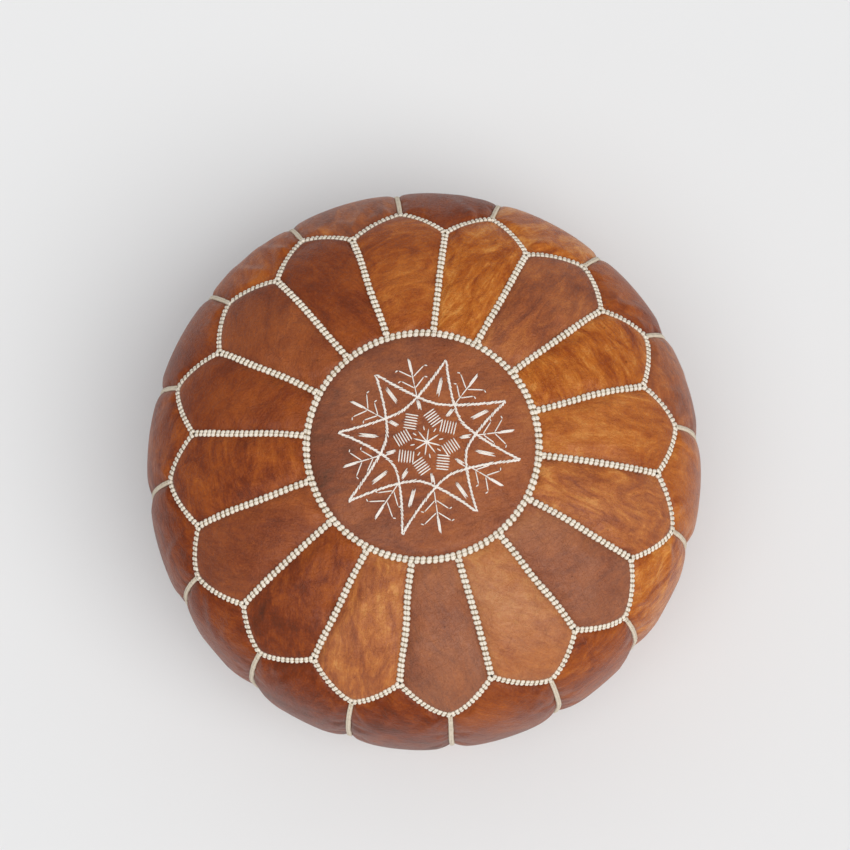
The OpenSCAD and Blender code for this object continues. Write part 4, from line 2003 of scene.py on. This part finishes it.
class BoxWork:
    """Metalwork built up from boxes and round bars, and then softened as a casting is."""

    def __init__(self) -> None:
        """Starts an empty mesh."""
        self.bm = bmesh.new()

    def box(self, low: Sequence[float], high: Sequence[float], bevel: float = 0.0, segments: int = 2) -> None:
        """Adds a box between two corners.

        Args:
            low: its lowest corner.
            high: its highest corner.
            bevel: how far its edges are cut back.
            segments: the steps of a bevel.
        """
        made = bmesh.ops.create_cube(self.bm, size=1)
        for vert in made["verts"]:
            vert.co = Vector([a + (b - a) * (part + 0.5) for a, b, part in zip(low, high, vert.co)])
        if bevel:
            edges = list({edge for vert in made["verts"] for edge in vert.link_edges})
            bmesh.ops.bevel(
                self.bm, geom=edges, offset=bevel, affect="EDGES", segments=segments, profile=0.5, material=-1
            )

    def bar(self, centre: Sequence[float], radius: float, length: float, axis: str, sides: int = 24) -> None:
        """Adds a closed round bar along an axis.

        Args:
            centre: its middle.
            radius: its radius.
            length: its length.
            axis: X, Y or Z.
            sides: its steps round.
        """
        made = bmesh.ops.create_cone(
            self.bm, cap_ends=True, segments=sides, radius1=radius, radius2=radius, depth=length
        )
        turn = Matrix() if axis == "Z" else Matrix.Rotation(math.pi / 2, 4, "Y" if axis == "X" else "X")
        place = Matrix.Translation(Vector(centre)) @ turn
        bmesh.ops.transform(self.bm, matrix=place, verts=made["verts"])

    def finished(self, name: str) -> bpy.types.Object:
        """Returns the work as one piece, with its boxes as they are."""
        bmesh.ops.recalc_face_normals(self.bm, faces=self.bm.faces)
        return new_object(name, mesh_from(self.bm, name, smooth=False))

    def cast(self, name: str, voxel: float) -> bpy.types.Object:
        """Returns the work as one piece, melted together at a voxel size and smoothed.

        Args:
            name: the piece's name.
            voxel: the voxel size.

        Returns:
            The piece.
        """
        rough = self.finished(name + "_rough")
        add_modifier(rough, "REMESH", mode="VOXEL", voxel_size=voxel, use_smooth_shade=True)
        add_modifier(rough, "SMOOTH", factor=0.5, iterations=3)
        shape = rough.evaluated_get(bpy.context.evaluated_depsgraph_get())
        mesh = bpy.data.meshes.new_from_object(shape)
        mesh.name = name
        mesh.polygons.foreach_set("use_smooth", [True] * len(mesh.polygons))
        bpy.data.objects.remove(rough)
        return new_object(name, mesh)


@dataclass
class Zip:
    """The brass zip across the base. Heights are over the floor, and the closed end is at +X."""

    closed_x: float = 126.782 * MM
    half_length: float = 159.282 * MM
    tape_height: float = 11.0 * MM
    tape_width: float = 15.0 * MM
    tape_thickness: float = 0.8 * MM
    gap: float = 1.4 * MM
    chain_width: float = 7.0 * MM
    tooth_height: float = 2.4 * MM
    tooth_length: float = 2.6 * MM
    tooth_pitch: float = 4.0 * MM
    stop_length: float = 3.0 * MM
    slider_length: float = 14.0 * MM
    slider_width: float = 9.8 * MM
    plate: float = 1.3 * MM
    plate_low: float = 7.0 * MM
    plate_high: float = 12.1 * MM
    arch: tuple[float, float, float] = (7.2 * MM, 2.4 * MM, 3.4 * MM)
    tab_height: float = 5.8 * MM
    tab_length: float = 24.0 * MM
    tab_width: float = 5.8 * MM
    tab_thickness: float = 1.4 * MM
    hole: float = 5.45 * MM
    tapes: list[bpy.types.Object] = field(init=False, default_factory=list)
    metal: list[tuple[bpy.types.Object, str]] = field(init=False, default_factory=list)

    def build(self) -> None:
        """Makes the tapes, the teeth, the stops, the slider and the pull tab."""
        for side, name in ((1, "left"), (-1, "right")):
            self.tapes.append(self._tape(side, f"zip_tape_{name}_cloth"))
            self.metal.append((self._teeth(side, f"zip_teeth_{name}_brass"), "pouf"))
        self.metal.append((self._top_stops(), "pouf"))
        self.metal.append((self._bottom_stop(), "pouf"))
        self.metal.append((self._slider(), "slider"))
        self.metal.append((self._tab(), "pull_tab"))

    @property
    def chain_end(self) -> float:
        """Where the chain ends, in front of the closed slider."""
        return self.closed_x + self.slider_length / 2 + 0.3 * MM

    def _sides(self, side: int, inner: float, outer: float) -> tuple[float, float]:
        """Returns the lower and the higher Y of a strip between two distances from the middle."""
        return (inner, outer) if side > 0 else (-outer, -inner)

    def _tape(self, side: int, name: str) -> bpy.types.Object:
        """Makes one half of the tape, with the corded edge that holds the teeth.

        Args:
            side: 1 or -1, its side of the zip.
            name: its name.

        Returns:
            The piece.
        """
        bm = bmesh.new()
        bmesh.ops.create_grid(bm, x_segments=160, y_segments=8, size=1)
        low, high = self._sides(side, self.gap / 2, self.gap / 2 + self.tape_width)
        for vert in bm.verts:
            x, share = vert.co.x * self.half_length, (vert.co.y + 1) / 2
            ripple = 0.15 * MM * math.sin(x * 210) * (share if side > 0 else 1 - share)
            height = self.tape_height + self.tape_thickness + ripple - 0.15 * MM
            vert.co = Vector((x, low + (high - low) * share, height))
        made = new_object(name, mesh_from(bm, name))
        add_modifier(made, "SOLIDIFY", thickness=self.tape_thickness - 0.15 * MM, offset=-1.0)
        return made

    def _teeth(self, side: int, name: str) -> bpy.types.Object:
        """Makes one row of teeth, each with a bump on its head and legs over the tape's edge.

        Args:
            side: 1 or -1, its side of the zip.
            name: its name.

        Returns:
            The piece.
        """
        work = BoxWork()
        count = math.floor((2 * self.chain_end - self.tooth_length) / self.tooth_pitch) + 1
        top = self.tape_height
        for i in range(count):
            x = (i - (count - 1) / 2) * self.tooth_pitch
            half = self.tooth_length / 2
            inner, outer = self.gap / 2, self.chain_width / 2
            low, high = self._sides(side, inner, outer - 0.5 * MM)
            work.box((x - half, low, top - self.tooth_height), (x + half, high, top), 0.35 * MM, 1)
            low, high = self._sides(side, inner + 1.4 * MM, outer)
            leg, base = half * 0.7, top - self.tooth_height * 0.8
            work.box((x - leg, low, base), (x + leg, high, top), 0.3 * MM, 1)
        return work.finished(name)

    def _top_stops(self) -> bpy.types.Object:
        """Makes the two clips at the closed end.

        Returns:
            The piece.
        """
        work = BoxWork()
        start, base = self.chain_end, self.tape_height - self.tooth_height
        for side in (1, -1):
            low, high = self._sides(side, self.gap / 2, self.chain_width / 2)
            end = (start + self.stop_length, high, self.tape_height)
            work.box((start, low, base), end, 0.6 * MM, 3)
        return work.finished("zip_top_stops_brass")

    def _bottom_stop(self) -> bpy.types.Object:
        """Makes the clip across both halves at the open end.

        Returns:
            The piece.
        """
        work = BoxWork()
        half, base = self.chain_width / 2, self.tape_height - self.tooth_height
        low = (-self.chain_end - self.stop_length, -half, base)
        work.box(low, (-self.chain_end, half, self.tape_height), 0.7 * MM, 3)
        return work.finished("zip_bottom_stop_brass")

    def _slider(self) -> bpy.types.Object:
        """Makes the slider: two plates, their flanges, the web between them and the arch.

        Returns:
            The piece.
        """
        work = BoxWork()
        x, half, wide = self.closed_x, self.slider_length / 2, self.slider_width / 2
        low, high = self.plate_low, self.plate_high
        work.box((x - half, -wide, low), (x + half, wide, low + self.plate), 0.5 * MM, 3)
        work.box((x - half, -wide, high), (x + half, wide, high + self.plate), 0.5 * MM, 3)
        for side in (1, -1):
            inner, outer = self._sides(side, wide - 1.1 * MM, wide)
            start, end = x - half + 0.4 * MM, x + half - 0.4 * MM
            work.box((start, inner, low + 0.3 * MM), (end, outer, low + 3.6 * MM))
        work.box((x + half / 3, -0.4 * MM, low + 0.5 * MM), (x + half, 0.4 * MM, high + 0.5 * MM))
        long, across, tall = self.arch
        for side in (1, -1):
            ends = sorted((x + side * long / 2, x + side * (long / 2 - 1.3 * MM)))
            work.box((ends[0], -across / 2, low - tall + 0.2 * MM), (ends[1], across / 2, low + 0.5 * MM))
        work.box((x - long / 2, -across / 2, low - tall), (x + long / 2, across / 2, low - tall + MM))
        return work.cast("zip_slider_brass", 0.22 * MM)

    def _tab(self) -> bpy.types.Object:
        """Makes the pull tab: a bar in the arch, two legs, a waisted plate and a hole near its end.

        Returns:
            The piece.
        """
        work = BoxWork()
        x, z, wide, half = self.closed_x, self.tab_height, self.tab_width / 2, self.tab_thickness / 2
        leg = 1.3 * MM
        work.bar((x, 0, z), half, self.tab_width, "Y")
        for side in (1, -1):
            low, high = self._sides(side, wide - leg, wide)
            work.box((x - self.hole - leg, low, z - half), (x, high, z + half))
        end = x - self.tab_length + wide
        work.box((end + 2.4 * MM, -wide, z - half), (x - self.hole, wide, z + half))
        # A round eye at the end, melted together from a ring of short bars
        bars, eye = 24, 2.05 * MM
        for i in range(bars):
            turn = 2 * math.pi * i / bars
            centre = (end + eye * math.cos(turn), eye * math.sin(turn), z)
            work.bar(centre, 0.85 * MM, 2 * half, "Z", 12)
        return work.cast("zip_pull_tab_brass", 0.2 * MM)

    def dress(self, tape: bpy.types.Material, brass: bpy.types.Material) -> None:
        """Gives the zip its finishes, and lets the slider and the tab ride on their bodies.

        Args:
            tape: the finish of the tapes.
            brass: the finish of the metal.
        """
        for made in self.tapes:
            dress(made, tape, "zip_tape")
            hand_over(made, "pouf", made.name.removesuffix("_cloth"))
            LOG.info("%s", made.name)
        for made, body in self.metal:
            dress(made, brass, "zip_brass")
            hand_over(made, body, made.name.removesuffix("_brass"))
            LOG.info("%s: %d faces", made.name, len(made.data.polygons))


@dataclass
class Insert:
    """The calico bag of cotton fibre inside the leather, raised over the zip."""

    profile: Profile
    inset: float = 6.0 * MM
    floor: float = 16.5 * MM
    flat_radius: float = 150 * MM
    gores: int = 8
    bag: bpy.types.Object | None = field(init=False, default=None)
    filling: bpy.types.Object | None = field(init=False, default=None)

    def build(self) -> None:
        """Makes the bag and the fibre in it."""
        inset, floor, gap = self.inset, self.floor, 4 * MM
        self.bag = self._turned("calico_bag", inset, floor, 96, 64, self._gored)
        self.filling = self._turned("cotton_filling", inset + gap, floor + gap, 72, 48, self._lumpy)

    def _gored(self, turn: float, share: float) -> float:
        """Returns how far the bag is drawn in at its seams."""
        return 1.6 * MM * abs(math.cos(turn * self.gores / 2)) ** 12 * math.sin(math.pi * share) ** 0.5

    def _lumpy(self, turn: float, share: float) -> float:
        """Returns how far the fibre falls short of the bag."""
        return 1.5 * MM * (1 + math.sin(5 * turn + 9 * share) * math.sin(17 * share + 2 * turn))

    def _turned(
        self,
        name: str,
        inset: float,
        floor: float,
        around: int,
        stages: int,
        short: Callable[[float, float], float],
    ) -> bpy.types.Object:
        """Makes a closed form from a ball, drawn out to the inside of the leather.

        Args:
            name: its name.
            inset: its distance inside the leather.
            floor: the height of its underside.
            around: its steps about Z.
            stages: its steps from the crown to the underside.
            short: how much further in it lies at an angle and a share of the way down.

        Returns:
            The piece.
        """
        profile = self.profile
        run = np.linspace(0, profile.run[-1], 200)
        r = np.interp(run, profile.run, profile.r) - inset * np.interp(run, profile.run, profile.out_r)
        z = np.interp(run, profile.run, profile.z) - inset * np.interp(run, profile.run, profile.out_z)
        r, z = np.append(r, [self.flat_radius, 0.0]), np.append(z, [floor, floor])
        length = np.concatenate([[0.0], np.cumsum(np.hypot(np.diff(r), np.diff(z)))])
        bm = bmesh.new()
        bmesh.ops.create_uvsphere(bm, u_segments=around, v_segments=stages, radius=1)
        for vert in bm.verts:
            share = math.acos(max(-1.0, min(1.0, vert.co.z))) / math.pi
            turn = math.atan2(vert.co.y, vert.co.x)
            less = short(turn, share) if 0 < share < 1 else 0.0
            height = float(np.interp(share * length[-1], length, z))
            radius = float(np.interp(share * length[-1], length, r)) - less
            radius = radius + float(profile.uneven(turn, height))
            vert.co = polar(max(0.0, radius), turn) + Vector((0, 0, height - 0.3 * less))
        return new_object(name, mesh_from(bm, name))

    def dress(self, calico: bpy.types.Material, fibre: bpy.types.Material) -> None:
        """Args:
            calico: the bag's finish.
            fibre: the filling's finish.
        """
        for made, material, slot, node in (
            (self.bag, calico, "calico", "insert_cover"),
            (self.filling, fibre, "filling", "insert_filling"),
        ):
            dress(made, material, slot)
            hand_over(made, "pouf", node)
            LOG.info("%s: %d faces", made.name, len(made.data.polygons))


# ---- The studio ----


@dataclass
class Studio:
    """A camera almost overhead, two wide soft lights, a sky that pales to the horizon, and a pale floor."""

    aim: tuple[float, float, float] = (0.0, 0.0, 0.153)
    distance: float = 2.2
    azimuth: float = -91.8
    elevation: float = 78.3
    roll: float = -4.5
    drop: float = 1.33
    lens: float = 93.2
    overhead: Colour = (0.43, 0.435, 0.44)
    haze: Colour = (0.60, 0.605, 0.61)
    horizon: Colour = (0.80, 0.80, 0.805)
    key_light: float = 1.45
    fill_light: float = 0.80
    softness: float = math.radians(46)

    def camera(self) -> None:
        """Makes the camera."""
        turn, rise = math.radians(self.azimuth), math.radians(self.elevation)
        away = Vector((math.cos(rise) * math.cos(turn), math.cos(rise) * math.sin(turn), math.sin(rise)))
        data = bpy.data.cameras.new("camera")
        data.lens, data.sensor_width = self.lens, 36
        data.clip_end = 50
        made = bpy.data.objects.new("camera", data)
        bpy.context.scene.collection.objects.link(made)
        look = (-away).to_track_quat("-Z", "Y").to_matrix().to_4x4()
        roll = Matrix.Rotation(math.radians(self.roll), 4, "Z")
        drop = Matrix.Rotation(math.radians(self.drop), 4, "X")
        made.matrix_world = Matrix.Translation(Vector(self.aim) + away * self.distance) @ look @ roll @ drop
        bpy.context.scene.camera = made

    def light(self) -> None:
        """Makes the floor, the sky and the two lights."""
        scene = bpy.context.scene
        scene.view_settings.view_transform = "Standard"
        bm = bmesh.new()
        bmesh.ops.create_circle(bm, cap_ends=True, segments=96, radius=30)
        floor = new_object("floor", mesh_from(bm, "floor"))
        floor.data.materials.append(Paper().make())
        tree = FinishTree("sky", "worlds")
        up = tree.split(tree.node("ShaderNodeTexCoord", output="Generated"))[2]
        colour = tree.ramp(up, [(0.0, self.horizon), (0.06, self.haze), (0.24, self.overhead)])
        glow = tree.node("ShaderNodeBackground", inputs={"Color": colour})
        tree.node("ShaderNodeOutputWorld", inputs={"Surface": glow})
        scene.world = tree.owner
        self._lamp("key", (1.2, -1.3, 2.4), self.key_light, (1.0, 0.99, 0.975))
        self._lamp("fill", (-0.6, -0.9, 2.4), self.fill_light, (0.975, 0.99, 1.0))

    def _lamp(self, name: str, away: tuple[float, float, float], power: float, colour: Colour) -> None:
        """Adds a wide soft light that shines from the direction away.

        Args:
            name: its name.
            away: the direction that it shines from.
            power: its strength.
            colour: its colour.
        """
        data = bpy.data.lights.new(name, "SUN")
        data.angle, data.energy, data.color = self.softness, power, colour
        made = bpy.data.objects.new(name, data)
        bpy.context.scene.collection.objects.link(made)
        made.rotation_euler = (-Vector(away)).to_track_quat("-Z", "Y").to_euler()


# ---- The whole pouf ----


def main() -> None:
    """Builds and dresses the pouf in its studio."""
    logging.basicConfig(level=logging.INFO, format="%(name)s: %(message)s")
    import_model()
    studio = Studio()
    studio.camera()

    stand_radius = 182.28 * MM
    base_radius, base_flat_radius, base_height = 164.28 * MM, 154.28 * MM, 9 * MM
    profile = Profile(271 * MM, 300 * MM, 140 * MM, 158 * MM, base_radius, base_flat_radius, base_height)
    pattern = Pattern(profile, 16, 109 * MM, 222 * MM, 246 * MM)
    cover = Cover(profile, pattern)
    cover.build()
    seams = SeamWork(profile, pattern, stand_radius)
    seams.build()

    bm = bmesh.new()
    bm.from_mesh(cover.panels[-1].made.data)
    embroidery = Embroidery(BVHTree.FromBMesh(bm), 86 * MM, math.radians(28))
    bm.free()
    stages = (embroidery.star, embroidery.sprigs, embroidery.spindles, embroidery.squares, embroidery.rosette)
    threads = [stage() for stage in stages]
    base = Base(base_flat_radius, base_height)
    base.build()
    fastener = Zip()
    fastener.build()
    insert = Insert(profile)
    insert.build()

    slots = ("tan_leather", "brown_leather", "medallion_leather")
    hides = {slot: Hide(slot.replace("leather", "hide")).make() for slot in slots}
    cord = Cord("ivory_cord", (0.90, 0.82, 0.69), (0.27, 0.165, 0.075)).make()
    flat_cord = Cord("tan_cord", (0.74, 0.65, 0.51), (0.27, 0.19, 0.11), 2.0, 0.6).make()
    silk = Thread("ivory_silk", (0.93, 0.87, 0.80), (0.44, 0.32, 0.22)).make()
    cover.dress(hides)
    seams.dress(cord, flat_cord)
    for made in threads:
        dress(made, silk, "embroidery_thread")
        hand_over(made, "pouf", "embroidered_" + made.name.removesuffix("_thread"))
        LOG.info("%s: %d faces", made.name, len(made.data.polygons))
    waxed = Thread("waxed_thread", (0.62, 0.48, 0.28), (0.25, 0.16, 0.07)).make()
    base.dress(hides["brown_leather"], waxed)
    zip_cloth = Weave("zip_cloth", (0.10, 0.085, 0.07), (0.05, 0.042, 0.035), 0.9 * MM).make()
    fastener.dress(zip_cloth, Brass().make())
    calico = Weave("calico_cloth", (0.74, 0.69, 0.58), (0.60, 0.55, 0.44), 0.8 * MM).make()
    insert.dress(calico, Fibre().make())
    studio.light()


if __name__ == "__main__":
    main()
